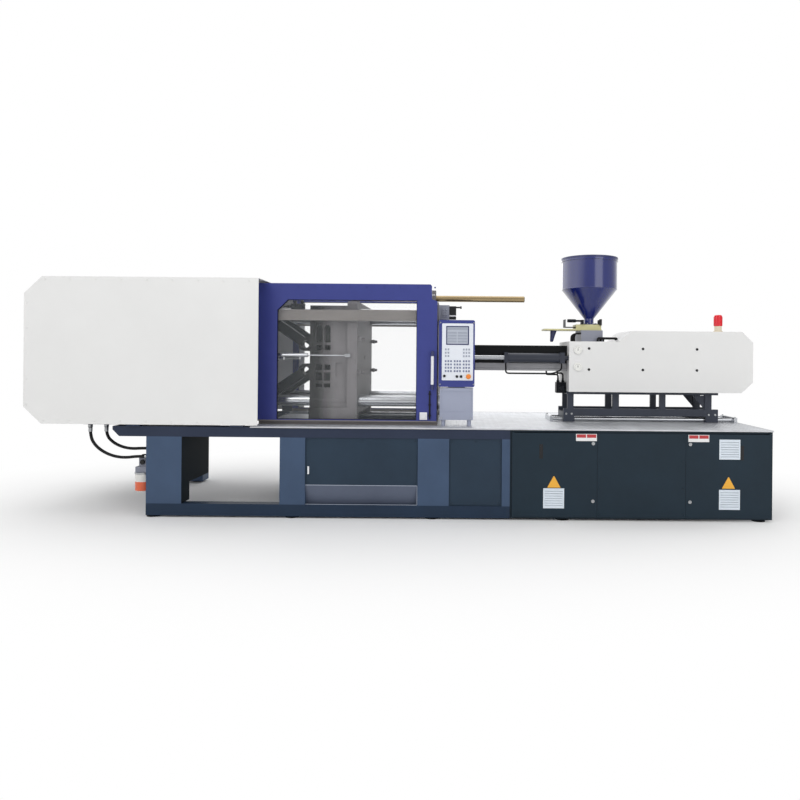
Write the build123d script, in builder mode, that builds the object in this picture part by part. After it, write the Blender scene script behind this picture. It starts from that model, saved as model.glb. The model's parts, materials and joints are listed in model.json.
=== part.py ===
from build123d import *
from math import atan2, degrees, pi, radians, sqrt, tan
import os

# Horizontal injection moulding machine, clamping force about 3800 kN.
# Millimetres. +X runs from the clamp towards the injection unit, -Y is the operator's side,
# +Z is up. The origin is on the floor in the middle of the machine's plan.

# Overall lines
COVER_LEFT = -3425
INJECTION_RIGHT = 3425
BASE_LEFT = -2628
BASE_RIGHT = 3345
CABINET_LEFT = 967
HALF_WIDTH = 900
COVER_OVERHANG = 20
HALF_BASE = HALF_WIDTH - COVER_OVERHANG
FLOOR_GAP = 17
BEAM_LOW = 729
DECK_THICKNESS = 6
DECK_TOP = 826
BEAM_TOP = DECK_TOP - DECK_THICKNESS
CLEAR = 0.3
SLIDE_FIT = 0.1
HINGE_FIT = 0.05

# Base frame
BEAM_WIDTH = 120
BEAM_CHAMFER = 60
RAIL_TOP = 124
RAIL_WIDTH = 100
LEG_DEPTH = 180
LEG_BOX_DEPTH = 650
LEG_BOX_LOW = 290
LEFT_LEG = (-2322, -2002)
MIDDLE_LEG = (-1115, -885)
RIGHT_LEG = (133, 417)
END_STRIP = (894, CABINET_LEFT)
REAR_CORNER_LEG = (BASE_LEFT, -2425)
PANEL_THICKNESS = 6
PANEL_RECESS = 10
TRAY_TOP = 300
FOOT_RADIUS = 60
FRONT_FEET = (-2275, -1010, 262, 1452, 3240)
REAR_FEET = (-2525, -1010, 262, 1452, 3240)
FOOT_INSET = 60

# Deck
DECK_LEFT = -1384
DECK_OVERHANG = 5
HALF_DECK = HALF_BASE + DECK_OVERHANG
DROP_HOLE = (-870, 90)
DROP_HALF = 400

# Hydraulic and electric cabinet under the injection unit
CABINET_FRONT = HALF_BASE - 10
CABINET_BACK = HALF_DECK
CABINET_WALL = 12
CABINET_FLOOR = 43
LEFT_DOOR = (985, 1753)
RIGHT_DOOR = (2554, 3327)
DOOR_LOW = 34
DOOR_HIGH = 792
DOOR_FRONT = CABINET_FRONT + 20
DOOR_THICKNESS = 16
DOOR_LIP = 20
PIVOT_INSET = 7
PIVOT_RADIUS = 5
LOCK_INSET = 37
LOCK_HEIGHTS = (700, 180)
LOCK_RADIUS = 15
LOCK_SHAFT = 8
CAM_LENGTH = 40
CAM_WIDTH = 14
CAM_THICKNESS = 4
VENT_WIDTH = 181
VENT_HEIGHT = 172
LEFT_VENTS = ((1272, 117),)
RIGHT_VENTS = ((2858, 570), (2858, 117))
VENT_SLATS = 8
SLAT_THICKNESS = 3
SLAT_TILT = 35

# Clamp unit
AXIS_Z = 1455
BAR_OFFSET = 418
BAR_RADIUS = 54
PLATEN_HALF = 540
FIXED_FACE = 100
FIXED_BACK = 300
MOVING_FACE = -475
FACE_PLATE = 96
CORE_DEPTH = 154
RIB_DEPTH = 162
REAR_FLANGE = 48
SIDE_WALL = (440, 500)
LOCATING_RADIUS = 80
LOCATING_DEPTH = 60
NOZZLE_CONE_RADIUS = 190
MOULD_HOLE_RADIUS = 10
MOULD_HOLE_DEPTH = 45
MOULD_PITCHES = ((350, 350), (700, 140))
TAIL_FACE = -1850
TAIL_THICKNESS = 240
NUT_RADIUS = 85
NUT_LENGTH = 90
SHOE_HEIGHT = 65
WAY_HEIGHT = 24
WAY_WIDTH = (440, 540)

# Toggle linkage: a rear link and a front link above the axis, and the same below
REAR_PIN_X = -1770
PIN_OFFSET = 130
REAR_LINK = 430
FRONT_LINK = 700
FRONT_PIN_X = -1020
LINK_EYE = 68
ELBOW_EYE = 72
PIN_RADIUS = 40
REAR_LINK_SIDE = (165, 225)
FRONT_LINK_SIDE = (228, 288)
TAIL_LUG_SIDES = ((121, 162), (228, 269))
FRONT_LUG_SIDES = ((184, 225), (291, 332))
CROSSHEAD_ARM = 250
CROSSHEAD_OFFSET = 70
SMALL_LINK = 330
SMALL_EYE = 34
SMALL_PIN = 18
SMALL_LINK_HALF = 30
CROSSHEAD_GUIDE_Y = 330
CROSSHEAD_GUIDE_RADIUS = 30
RAM_RADIUS = 45
CYLINDER_RADIUS = 130
CYLINDER_LENGTH = 900

# Covers and gates
COVER_RIGHT = -1313
COVER_LOW = 837
COVER_HIGH = 2168
COVER_CHAMFER = (162, 153)
SHEET = 4
SEAM = 0.5
GATE_LEFT = -1384
GATE_RIGHT = 293
GATE_BEAM_RIGHT = 241
GATE_LOW = 857
GATE_HIGH = 2148
GATE_SHOULDER = 1990
WINDOW = (-1206, 103)
WINDOW_LOW = 875
WINDOW_HIGH = 1996
WINDOW_CHAMFER = 100
GATE_Y = (630, 670)
PANE = 6
REAR_WINDOW = (-1320, 150)
REAR_WINDOW_HIGH = 2080
RAIL_Y = (550, 600)
RAIL_Z = (1806, 1908)
RAIL_X = (-2620, 298)
ROLLER_RADIUS = 38
FRONT_ROLLERS = (-1290, 180)
REAR_ROLLERS = (-1350, 200)
HANDLE_X = 252
HANDLE_Z = (1165, 1520)
HANDLE_RADIUS = 14
HANDLE_REACH = 45

# Mechanical safety rod over the platens
SAFETY_Y = -330
SAFETY_Z = 2045
SAFETY_RADIUS = 30
SAFETY_X = (-571, 1144)
SAFETY_BRACKET = (-565, -490)
SAFETY_BOX = (130, 270)

# Operator's panel
PANEL_X = (310, 646)
PANEL_Z = (1190, 1815)
PANEL_Y = (-690, -545)
FASCIA_X = (340, 631)
FASCIA_Z = (1252, 1783)
SCREEN_X = (387, 582)
SCREEN_Z = (1592, 1750)
STOP_X = 589
STOP_Z = 1288
STOP_RADIUS = 20
STOP_TRAVEL = 6

# Injection unit
STAND_HALF = 170
GUIDE_Z = 851
GUIDE_Y = 120
GUIDE_RADIUS = 20
GUIDE_X = (1430, 3330)
STAND_LEGS = ((1607, 1669), (2063, 2129), (2541, 2601), (2997, 3068))
STAND_BEAM = (888, 959)
STAND_TOP = (1104, 1134)
SHOES = ((1567, 1679), (3012, 3134))
UNIT_LEFT = 1597
UNIT_HALF = 300
UNIT_LOW = 1134
UNIT_HIGH = 1744
BARREL_RADIUS = 80
SCREW_RADIUS = 32.5
BARREL_X = (520, 1742)
FEED_X = (1742, 1960)
GUARD_X = (665, UNIT_LEFT)
GUARD_HALF = 170
GUARD_Z = (1339, 1594)
NOZZLE_TIP = 220
SEAT_Y = -250
SEAT_Z = 1469
SEAT_X = (953, 1554)
SEAT_RADIUS = 48
SEAT_ROD_RADIUS = 22.5
HOPPER_X = 1851
HOPPER_RADIUS = 282
HOPPER_SHEET = 4
HOPPER_RIM = 2480
HOPPER_SHOULDER = 2180
HOPPER_NECK = 1878
HOPPER_BASE = (1753, 1768)
THROAT_HALF = 40
LID_HEIGHT = 22

os.makedirs("parts", exist_ok=True)


def block(x, y, z, mode=Mode.ADD):
    """A box between two corners, each axis given as (low, high)."""
    centre = [(low + high) / 2 for low, high in (x, y, z)]
    size = [high - low for low, high in (x, y, z)]
    with Locations(tuple(centre)):
        Box(*size, mode=mode)


def rod_x(x, y, z, radius, mode=Mode.ADD):
    with Locations(Location(((x[0] + x[1]) / 2, y, z), (0, 90, 0))):
        Cylinder(radius, x[1] - x[0], mode=mode)


def rod_y(x, y, z, radius, mode=Mode.ADD):
    with Locations(Location((x, (y[0] + y[1]) / 2, z), (90, 0, 0))):
        Cylinder(radius, y[1] - y[0], mode=mode)


def rod_z(x, y, z, radius, mode=Mode.ADD):
    with Locations((x, y, (z[0] + z[1]) / 2)):
        Cylinder(radius, z[1] - z[0], mode=mode)


def profile_y(points, y, mode=Mode.ADD):
    """A closed outline in X and Z, extruded between two values of Y."""
    with BuildSketch(Plane.XZ.offset(-y[0])) as outline:
        Polygon(*points, align=None)
    extrude(outline.sketch, amount=-(y[1] - y[0]), mode=mode)


def both(span):
    """The same span of Y on the operator's side and on the far side."""
    return ((-span[1], -span[0]), span)


def save(part, name):
    part.label = name
    export_step(part, f"parts/{name}.step")


# Welded base frame of straight lengths that meet face to face: side beams and cross beams on top
with BuildPart() as side_beams:
    beam_outline = (
        (BASE_LEFT, BEAM_TOP),
        (BASE_LEFT, BEAM_LOW + BEAM_CHAMFER),
        (BASE_LEFT + BEAM_CHAMFER, BEAM_LOW),
        (CABINET_LEFT, BEAM_LOW),
        (CABINET_LEFT, BEAM_TOP),
    )
    inner_beam = HALF_BASE - BEAM_WIDTH
    for side in both((inner_beam, HALF_BASE)):
        profile_y(beam_outline, side)
with BuildPart() as cross_beams:
    for left in (-2560, LEFT_LEG[1] - BEAM_WIDTH, MIDDLE_LEG[0], 200, CABINET_LEFT - BEAM_WIDTH):
        block((left, left + BEAM_WIDTH), (-inner_beam, inner_beam), (BEAM_LOW, BEAM_TOP))

# Legs, standing on the bottom rails. The left one continues to the rear as a high box
front_leg = (-HALF_BASE, -HALF_BASE + LEG_DEPTH)
rear_leg = (HALF_BASE - LEG_DEPTH, HALF_BASE)
leg_z = (RAIL_TOP, BEAM_LOW)
with BuildPart() as legs:
    block(LEFT_LEG, front_leg, leg_z)
    block(REAR_CORNER_LEG, rear_leg, (FLOOR_GAP, BEAM_LOW))
    for span in (MIDDLE_LEG, RIGHT_LEG, END_STRIP):
        block(span, front_leg, leg_z)
        block(span, rear_leg, leg_z)
with BuildPart() as leg_box:
    block(LEFT_LEG, (front_leg[1], -HALF_BASE + LEG_BOX_DEPTH), (LEG_BOX_LOW, BEAM_LOW))

rail_z = (FLOOR_GAP, RAIL_TOP)
rail_inner = HALF_BASE - RAIL_WIDTH
with BuildPart() as long_rails:
    block((LEFT_LEG[0], CABINET_LEFT), (-HALF_BASE, -rail_inner), rail_z)
    block((MIDDLE_LEG[0], CABINET_LEFT), (rail_inner, HALF_BASE), rail_z)
with BuildPart() as cross_rails:
    for span in (MIDDLE_LEG, RIGHT_LEG):
        block(span, (-rail_inner, rail_inner), rail_z)

# Angle seats that the clamp cover is screwed to
with BuildPart() as cover_seats:
    for left in (-2500, -1560):
        for side in both((HALF_BASE - 30, HALF_WIDTH - SHEET)):
            block((left, left + 120), side, (BEAM_TOP, COVER_LOW + 60))
frame_groups = (side_beams, cross_beams, legs, leg_box, long_rails, cross_rails, cover_seats)
frame_lengths = [length for group in frame_groups for length in group.solids()]

# Recessed sheet panels between the legs, the left one with a sloping collecting tray below
with BuildPart() as base_panels:
    outer = HALF_BASE - PANEL_RECESS
    for front in (True, False):
        side = (-outer, -outer + PANEL_THICKNESS) if front else (outer - PANEL_THICKNESS, outer)
        block((MIDDLE_LEG[1], RIGHT_LEG[0]), side, (TRAY_TOP, BEAM_LOW))
        block((RIGHT_LEG[1], END_STRIP[0]), side, (RAIL_TOP, BEAM_LOW))
    tray = 60
    for flip in (1, -1):
        with BuildSketch(Plane.YZ.offset(MIDDLE_LEG[1])):
            with BuildLine():
                Polyline(
                    (-outer * flip, TRAY_TOP - SEAM),
                    ((-outer + PANEL_THICKNESS) * flip, TRAY_TOP - SEAM),
                    ((-outer + tray + PANEL_THICKNESS) * flip, RAIL_TOP),
                    ((-outer + tray) * flip, RAIL_TOP),
                    close=True,
                )
            make_face()
        extrude(amount=RIGHT_LEG[0] - MIDDLE_LEG[1])
    # Pull handle on the operator's side
    handle_x = MIDDLE_LEG[1] + 22
    block((handle_x, handle_x + 14), (-outer - 8, -outer), (400, 470))
save(base_panels.part, "base_panels")

# Levelling pads: a rubber-soled disc with a spigot under each leg
with BuildPart() as levelling_feet:
    for y, row in ((-HALF_BASE + FOOT_INSET, FRONT_FEET), (HALF_BASE - FOOT_INSET, REAR_FEET)):
        for x in row:
            with BuildSketch(Plane.XZ.offset(-y)) as pad:
                with BuildLine():
                    Polyline(
                        (x, 0),
                        (x + FOOT_RADIUS, 0),
                        (x + FOOT_RADIUS, FLOOR_GAP * 0.4),
                        (x + FOOT_RADIUS * 0.6, FLOOR_GAP),
                        (x, FLOOR_GAP),
                        close=True,
                    )
                make_face()
            revolve(axis=Axis((x, y, 0), (0, 0, 1)))
save(levelling_feet.part, "levelling_feet")

# Chequer plate deck with the drop hole for moulded parts, and the ways of the moving platen
with BuildPart() as deck_plate:
    block((DECK_LEFT, BASE_RIGHT), (-HALF_DECK, HALF_DECK), (BEAM_TOP, DECK_TOP))
    block(DROP_HOLE, (-DROP_HALF, DROP_HALF), (BEAM_TOP - 1, DECK_TOP + 1), mode=Mode.SUBTRACT)
save(deck_plate.part, "deck_plate")

# Ground ways under the moving platen, guide rods of the injection unit and of the crosshead,
# and the rod that the seat cylinder pulls on
with BuildPart() as machine_ways:
    for side in both(WAY_WIDTH):
        block((DECK_LEFT + 20, FIXED_FACE - 10), side, (DECK_TOP, DECK_TOP + WAY_HEIGHT))
    for end in ((GUIDE_X[0], GUIDE_X[0] + 32), (GUIDE_X[1] - 32, GUIDE_X[1])):
        block(end, (-STAND_HALF, STAND_HALF), (DECK_TOP, GUIDE_Z + 26))
    for y in (-GUIDE_Y, GUIDE_Y):
        rod_x(GUIDE_X, y, GUIDE_Z, GUIDE_RADIUS)
    rod_x((FIXED_BACK, SEAT_X[0] + 447), SEAT_Y, SEAT_Z, SEAT_ROD_RADIUS)
    for y in (-CROSSHEAD_GUIDE_Y, CROSSHEAD_GUIDE_Y):
        rod_x((TAIL_FACE, FRONT_PIN_X - 210), y, AXIS_Z, CROSSHEAD_GUIDE_RADIUS)
save(machine_ways.part, "machine_ways")

# Cabinet shell: open behind the two doors, closed by a fixed panel between them
with BuildPart() as cabinet_shell:
    block((CABINET_LEFT, BASE_RIGHT), (-CABINET_FRONT, CABINET_BACK), (FLOOR_GAP, BEAM_TOP))
    cavity_z = (CABINET_FLOOR + CABINET_WALL, BEAM_TOP - 2 * CABINET_WALL)
    divider = (LEFT_DOOR[1] + RIGHT_DOOR[0]) / 2
    cavity_y = (-CABINET_FRONT + CABINET_WALL, CABINET_BACK - CABINET_WALL)
    cavity_left = (CABINET_LEFT + CABINET_WALL, divider - CABINET_WALL)
    cavity_right = (divider + CABINET_WALL, BASE_RIGHT - CABINET_WALL)
    for span in (cavity_left, cavity_right):
        block(span, cavity_y, cavity_z, mode=Mode.SUBTRACT)
    mouth_y = (-CABINET_FRONT - 1, cavity_y[0] + 1)
    for span in (LEFT_DOOR, RIGHT_DOOR):
        mouth = (span[0] + DOOR_LIP, span[1] - DOOR_LIP)
        block(mouth, mouth_y, cavity_z, mode=Mode.SUBTRACT)
    middle = (LEFT_DOOR[1] + 2, RIGHT_DOOR[0] - 2)
    block(middle, (-DOOR_FRONT, -CABINET_FRONT), (DOOR_LOW, DOOR_HIGH))
    # Pivot brackets above and below each door, with their pins
    for x in (LEFT_DOOR[0] + PIVOT_INSET, RIGHT_DOOR[1] - PIVOT_INSET):
        pivot_y = -DOOR_FRONT + DOOR_THICKNESS / 2
        for bracket, pin in (
            ((DOOR_HIGH + CLEAR, DOOR_HIGH + 8), (DOOR_HIGH - 20, DOOR_HIGH + 1)),
            ((DOOR_LOW - 8, DOOR_LOW - CLEAR), (DOOR_LOW - 1, DOOR_LOW + 20)),
        ):
            block((x - 12, x + 12), (-DOOR_FRONT, -CABINET_FRONT), bracket)
            rod_z(x, pivot_y, pin, PIVOT_RADIUS)
save(cabinet_shell.part, "cabinet_shell")


def door(span, pivot_x, lock_x, vents):
    """Sheet door with pivot bores, lock holes and pressed louvre vents."""
    with BuildPart() as leaf:
        back = -DOOR_FRONT + DOOR_THICKNESS
        block(span, (-DOOR_FRONT, back), (DOOR_LOW, DOOR_HIGH))
        pivot_y = -DOOR_FRONT + DOOR_THICKNESS / 2
        for ends in ((DOOR_LOW - 1, DOOR_LOW + 21), (DOOR_HIGH - 21, DOOR_HIGH + 1)):
            rod_z(pivot_x, pivot_y, ends, PIVOT_RADIUS + HINGE_FIT, mode=Mode.SUBTRACT)
        for z in LOCK_HEIGHTS:
            rod_y(lock_x, (-DOOR_FRONT - 1, back + 1), z, LOCK_SHAFT + HINGE_FIT, mode=Mode.SUBTRACT)
        for x, z in vents:
            hole_x = (x, x + VENT_WIDTH)
            block(hole_x, (-DOOR_FRONT - 1, back + 1), (z, z + VENT_HEIGHT), mode=Mode.SUBTRACT)
            pitch = VENT_HEIGHT / VENT_SLATS
            rise = DOOR_THICKNESS * tan(radians(SLAT_TILT))
            for number in range(VENT_SLATS):
                low = z + pitch * number + SLAT_THICKNESS
                with BuildSketch(Plane.YZ.offset(x)):
                    with BuildLine():
                        Polyline(
                            (-DOOR_FRONT, low),
                            (back, low + rise),
                            (back, low + rise + SLAT_THICKNESS),
                            (-DOOR_FRONT, low + SLAT_THICKNESS),
                            close=True,
                        )
                    make_face()
                extrude(amount=VENT_WIDTH)
    return leaf.part


left_lock_x = LEFT_DOOR[1] - LOCK_INSET
right_lock_x = RIGHT_DOOR[0] + LOCK_INSET
left_door = door(LEFT_DOOR, LEFT_DOOR[0] + PIVOT_INSET, left_lock_x, LEFT_VENTS)
right_door = door(RIGHT_DOOR, RIGHT_DOOR[1] - PIVOT_INSET, right_lock_x, RIGHT_VENTS)
save(left_door, "cabinet_door_left")
save(right_door, "cabinet_door_right")

# Quarter-turn locks, shown unlocked: the cam stands upright behind the door
for lock_name, lock_x in (("left", left_lock_x), ("right", right_lock_x)):
    for level, z in zip(("top", "bottom"), LOCK_HEIGHTS):
        with BuildPart() as door_lock:
            cam_y = -CABINET_FRONT + CABINET_WALL + 1
            rod_y(lock_x, (-DOOR_FRONT - 7, -DOOR_FRONT - CLEAR), z, LOCK_RADIUS)
            rod_y(lock_x, (-DOOR_FRONT - CLEAR, cam_y + CAM_THICKNESS), z, LOCK_SHAFT)
            block(
                (lock_x - CAM_WIDTH / 2, lock_x + CAM_WIDTH / 2),
                (cam_y, cam_y + CAM_THICKNESS),
                (z - CAM_WIDTH / 2, z + CAM_LENGTH),
            )
            # Slot for the square key
            block(
                (lock_x - 2, lock_x + 2),
                (-DOOR_FRONT - 8, -DOOR_FRONT - 4),
                (z - 10, z + 10),
                mode=Mode.SUBTRACT,
            )
        save(door_lock.part, f"door_lock_{lock_name}_{level}")

# Tie bar positions in Y and Z, and the holes that the moulds are screwed to
bar_spots = [(y, AXIS_Z + z) for y in (-BAR_OFFSET, BAR_OFFSET) for z in (-BAR_OFFSET, BAR_OFFSET)]
mould_spots = [
    (sy * width / 2, AXIS_Z + sz * height / 2)
    for width, height in MOULD_PITCHES
    for sy in (-1, 1)
    for sz in (-1, 1)
]
platen_z = (AXIS_Z - PLATEN_HALF, AXIS_Z + PLATEN_HALF)
full_y = (-PLATEN_HALF, PLATEN_HALF)

# Fixed platen with the locating bore, the nozzle cone behind it and its feet
with BuildPart() as fixed_platen:
    block((FIXED_FACE, FIXED_BACK), full_y, platen_z)
    chamfer(fixed_platen.edges().filter_by(Axis.X), 25)
    for side in both(WAY_WIDTH):
        block((FIXED_FACE, FIXED_BACK), side, (DECK_TOP, platen_z[0] + 60))
    with BuildSketch(Plane.XZ) as nozzle_way:
        with BuildLine():
            Polyline(
                (FIXED_FACE - 1, AXIS_Z),
                (FIXED_FACE - 1, AXIS_Z + LOCATING_RADIUS),
                (FIXED_FACE + LOCATING_DEPTH, AXIS_Z + LOCATING_RADIUS),
                (FIXED_FACE + LOCATING_DEPTH, AXIS_Z + 45),
                (FIXED_FACE + LOCATING_DEPTH + 20, AXIS_Z + 45),
                (FIXED_BACK + 1, AXIS_Z + NOZZLE_CONE_RADIUS),
                (FIXED_BACK + 1, AXIS_Z),
                close=True,
            )
        make_face()
    revolve(axis=Axis((0, 0, AXIS_Z), (1, 0, 0)), mode=Mode.SUBTRACT)
    for y, z in bar_spots:
        rod_x((FIXED_FACE - 1, FIXED_BACK + 1), y, z, BAR_RADIUS + HINGE_FIT, mode=Mode.SUBTRACT)
    for y, z in mould_spots:
        hole_x = (FIXED_FACE - 1, FIXED_FACE + MOULD_HOLE_DEPTH)
        rod_x(hole_x, y, z, MOULD_HOLE_RADIUS, mode=Mode.SUBTRACT)

# Tie bars, each with a nut behind the tail platen and one behind the fixed platen
tail_back = TAIL_FACE - TAIL_THICKNESS
with BuildPart() as tie_bars:
    for y, z in bar_spots:
        rod_x((tail_back - NUT_LENGTH - 50, FIXED_BACK + 60), y, z, BAR_RADIUS)
with BuildPart() as tie_bar_nuts:
    for y, z in bar_spots:
        for nut_x in ((tail_back - NUT_LENGTH, tail_back), (FIXED_BACK, FIXED_BACK + 50)):
            rod_x(nut_x, y, z, NUT_RADIUS)
            rod_x((nut_x[0] - 1, nut_x[1] + 1), y, z, BAR_RADIUS + HINGE_FIT, mode=Mode.SUBTRACT)
save(Compound(children=[*tie_bars.solids(), *tie_bar_nuts.solids()]), "tie_bars")


def link_plate(start, end, eyes, waist, side, bores=(0, 0)):
    """A link between two eyes, each place given as (X, Z), lying between two values of Y."""
    run = (end[0] - start[0], end[1] - start[1])
    length = sqrt(run[0] ** 2 + run[1] ** 2)
    middle = ((start[0] + end[0]) / 2, (start[1] + end[1]) / 2)
    with BuildSketch(Plane.XZ.offset(-side[0])) as outline:
        for spot, eye in zip((start, end), eyes):
            with Locations(spot):
                Circle(eye)
        with Locations(middle):
            Rectangle(length, waist, rotation=degrees(atan2(run[1], run[0])))
        for spot, bore in zip((start, end), bores):
            if bore:
                with Locations(spot):
                    Circle(bore, mode=Mode.SUBTRACT)
    extrude(outline.sketch, amount=side[0] - side[1])


# Toggle geometry at rest, measured from the machine axis
pin_span = FRONT_PIN_X - REAR_PIN_X
rear_cosine = (pin_span**2 + REAR_LINK**2 - FRONT_LINK**2) / (2 * pin_span * REAR_LINK)
rear_sine = sqrt(1 - rear_cosine**2)
elbow_x = REAR_PIN_X + REAR_LINK * rear_cosine
elbow_rise = PIN_OFFSET + REAR_LINK * rear_sine
arm_x = REAR_PIN_X + CROSSHEAD_ARM * rear_cosine
arm_rise = PIN_OFFSET + CROSSHEAD_ARM * rear_sine
tube_x = REAR_PIN_X + (CROSSHEAD_ARM + 80) * rear_cosine
tube_rise = PIN_OFFSET + (CROSSHEAD_ARM + 80) * rear_sine
crosshead_x = arm_x + sqrt(SMALL_LINK**2 - (arm_rise - CROSSHEAD_OFFSET) ** 2)

# Moving platen: face plate, core, side walls with arched windows, rear flange and toggle lugs
with BuildPart() as moving_platen:
    face_back = MOVING_FACE - FACE_PLATE
    core_back = face_back - CORE_DEPTH
    rib_back = core_back - RIB_DEPTH
    flange_back = rib_back - REAR_FLANGE
    wall_half = SIDE_WALL[1]
    inner_z = (AXIS_Z - wall_half, AXIS_Z + wall_half)
    block((face_back, MOVING_FACE), full_y, platen_z)
    chamfer(moving_platen.edges().filter_by(Axis.X), 25)
    block((core_back, face_back), (-wall_half, wall_half), inner_z)
    block((flange_back, rib_back), (-wall_half, wall_half), inner_z)
    block((flange_back - 1, rib_back + 1), (-170, 170), (AXIS_Z - 170, AXIS_Z + 170), mode=Mode.SUBTRACT)
    window_columns = (rib_back + 42, rib_back + 120)
    for side in both(SIDE_WALL):
        block((rib_back, core_back), side, inner_z)
        cut_side = (side[0] - 1, side[1] + 1)
        for x in window_columns:
            for low, high in ((145, 280), (70, 120), (-120, -70), (-225, -145), (-290, -250)):
                low_z, high_z = AXIS_Z + low, AXIS_Z + high
                block((x - 30, x + 30), cut_side, (low_z, high_z), mode=Mode.SUBTRACT)
            rod_y(x, cut_side, AXIS_Z + 280, 30, mode=Mode.SUBTRACT)
    for y, z in bar_spots:
        rod_x((flange_back, face_back), y, z, NUT_RADIUS)
    for front in (-1, 1):
        pocket_y = (wall_half - 12, wall_half + 1) if front > 0 else (-wall_half - 1, -wall_half + 12)
        block((-686, -610), pocket_y, (1270, 1403), mode=Mode.SUBTRACT)
    for side in both(WAY_WIDTH):
        shoe_z = (DECK_TOP + WAY_HEIGHT + CLEAR, platen_z[0] + 60)
        block((face_back, MOVING_FACE), side, shoe_z)
        block((flange_back, face_back), side, (shoe_z[0], inner_z[0] + 20))
    for flip in (-1, 1):
        pin = (FRONT_PIN_X, AXIS_Z + flip * PIN_OFFSET)
        root = (flange_back - 1, pin[1])
        for span in FRONT_LUG_SIDES:
            for side in both(span):
                link_plate(root, pin, (LINK_EYE, LINK_EYE), 2 * LINK_EYE, side, (0, PIN_RADIUS))
    for y, z in bar_spots:
        rod_x((flange_back - 1, MOVING_FACE + 1), y, z, BAR_RADIUS + SLIDE_FIT, mode=Mode.SUBTRACT)
    for y, z in mould_spots:
        hole_x = (MOVING_FACE - MOULD_HOLE_DEPTH, MOVING_FACE + 1)
        rod_x(hole_x, y, z, MOULD_HOLE_RADIUS, mode=Mode.SUBTRACT)
    block(SAFETY_BRACKET, (SAFETY_Y - 45, SAFETY_Y + 45), (platen_z[1] - 5, SAFETY_Z + 45))
    rod_x((SAFETY_BRACKET[0] - 1, SAFETY_BRACKET[1] + 1), SAFETY_Y, SAFETY_Z, SAFETY_RADIUS, mode=Mode.SUBTRACT)
    # Way for the ejector rod
    rod_x((core_back - 1, MOVING_FACE + 1), 0, AXIS_Z, 25 + SLIDE_FIT, mode=Mode.SUBTRACT)
# Strap clamps on the moving platen for the mould's back plate
with BuildPart() as mould_clamps:
    for y in (-485, 485):
        for z in (1317, 1633):
            block((MOVING_FACE, MOVING_FACE + 22), (y - 32, y + 32), (z - 16, z + 16))
            block((MOVING_FACE + 22, MOVING_FACE + 40), (y - 45, y + 45), (z - 20, z + 20))
            rod_x((MOVING_FACE + 40, MOVING_FACE + 68), y, z, 14)
save(Compound(children=[moving_platen.solid(), *mould_clamps.solids()]), "moving_platen")

# Ejector: the plate behind the core with its central rod
with BuildPart() as ejector:
    rod_x((core_back - 140, MOVING_FACE - 6), 0, AXIS_Z, 25)
    block((core_back - 155, core_back - 130), (-150, 150), (AXIS_Z - 60, AXIS_Z + 60))
save(ejector.part, "ejector")

# Tail platen with its lugs, link pins and feet
with BuildPart() as tail_platen:
    tail_x = (TAIL_FACE - TAIL_THICKNESS, TAIL_FACE)
    block(tail_x, full_y, platen_z)
    chamfer(tail_platen.edges().filter_by(Axis.X), 25)
    for side in both(WAY_WIDTH):
        block((tail_x[0], LEFT_LEG[1]), side, (BEAM_TOP, platen_z[0] + 60))
    for flip in (-1, 1):
        pin = (REAR_PIN_X, AXIS_Z + flip * PIN_OFFSET)
        root = (TAIL_FACE - 1, pin[1])
        for span in TAIL_LUG_SIDES:
            for side in both(span):
                link_plate(root, pin, (LINK_EYE, LINK_EYE), 2 * LINK_EYE, side)
        for side in both((TAIL_LUG_SIDES[0][0], TAIL_LUG_SIDES[1][1])):
            rod_y(pin[0], side, pin[1], PIN_RADIUS)
    for y, z in bar_spots:
        rod_x((tail_x[0] - 1, TAIL_FACE + 1), y, z, BAR_RADIUS + HINGE_FIT, mode=Mode.SUBTRACT)
    rod_x((tail_x[0] - 1, TAIL_FACE + 1), 0, AXIS_Z, RAM_RADIUS + 10, mode=Mode.SUBTRACT)
save(tail_platen.part, "tail_platen")

# Clamp cylinder behind the tail platen
with BuildPart() as clamp_cylinder:
    cylinder_x = (tail_back - CYLINDER_LENGTH, tail_back)
    rod_x(cylinder_x, 0, AXIS_Z, CYLINDER_RADIUS)
    rod_x((tail_back - 45, tail_back), 0, AXIS_Z, CYLINDER_RADIUS + 45)
    rod_x((cylinder_x[0], cylinder_x[0] + 60), 0, AXIS_Z, CYLINDER_RADIUS + 20)
    bore_x = (cylinder_x[0] + 50, tail_back + 1)
    rod_x(bore_x, 0, AXIS_Z, RAM_RADIUS + SLIDE_FIT, mode=Mode.SUBTRACT)
save(clamp_cylinder.part, "clamp_cylinder")

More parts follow.
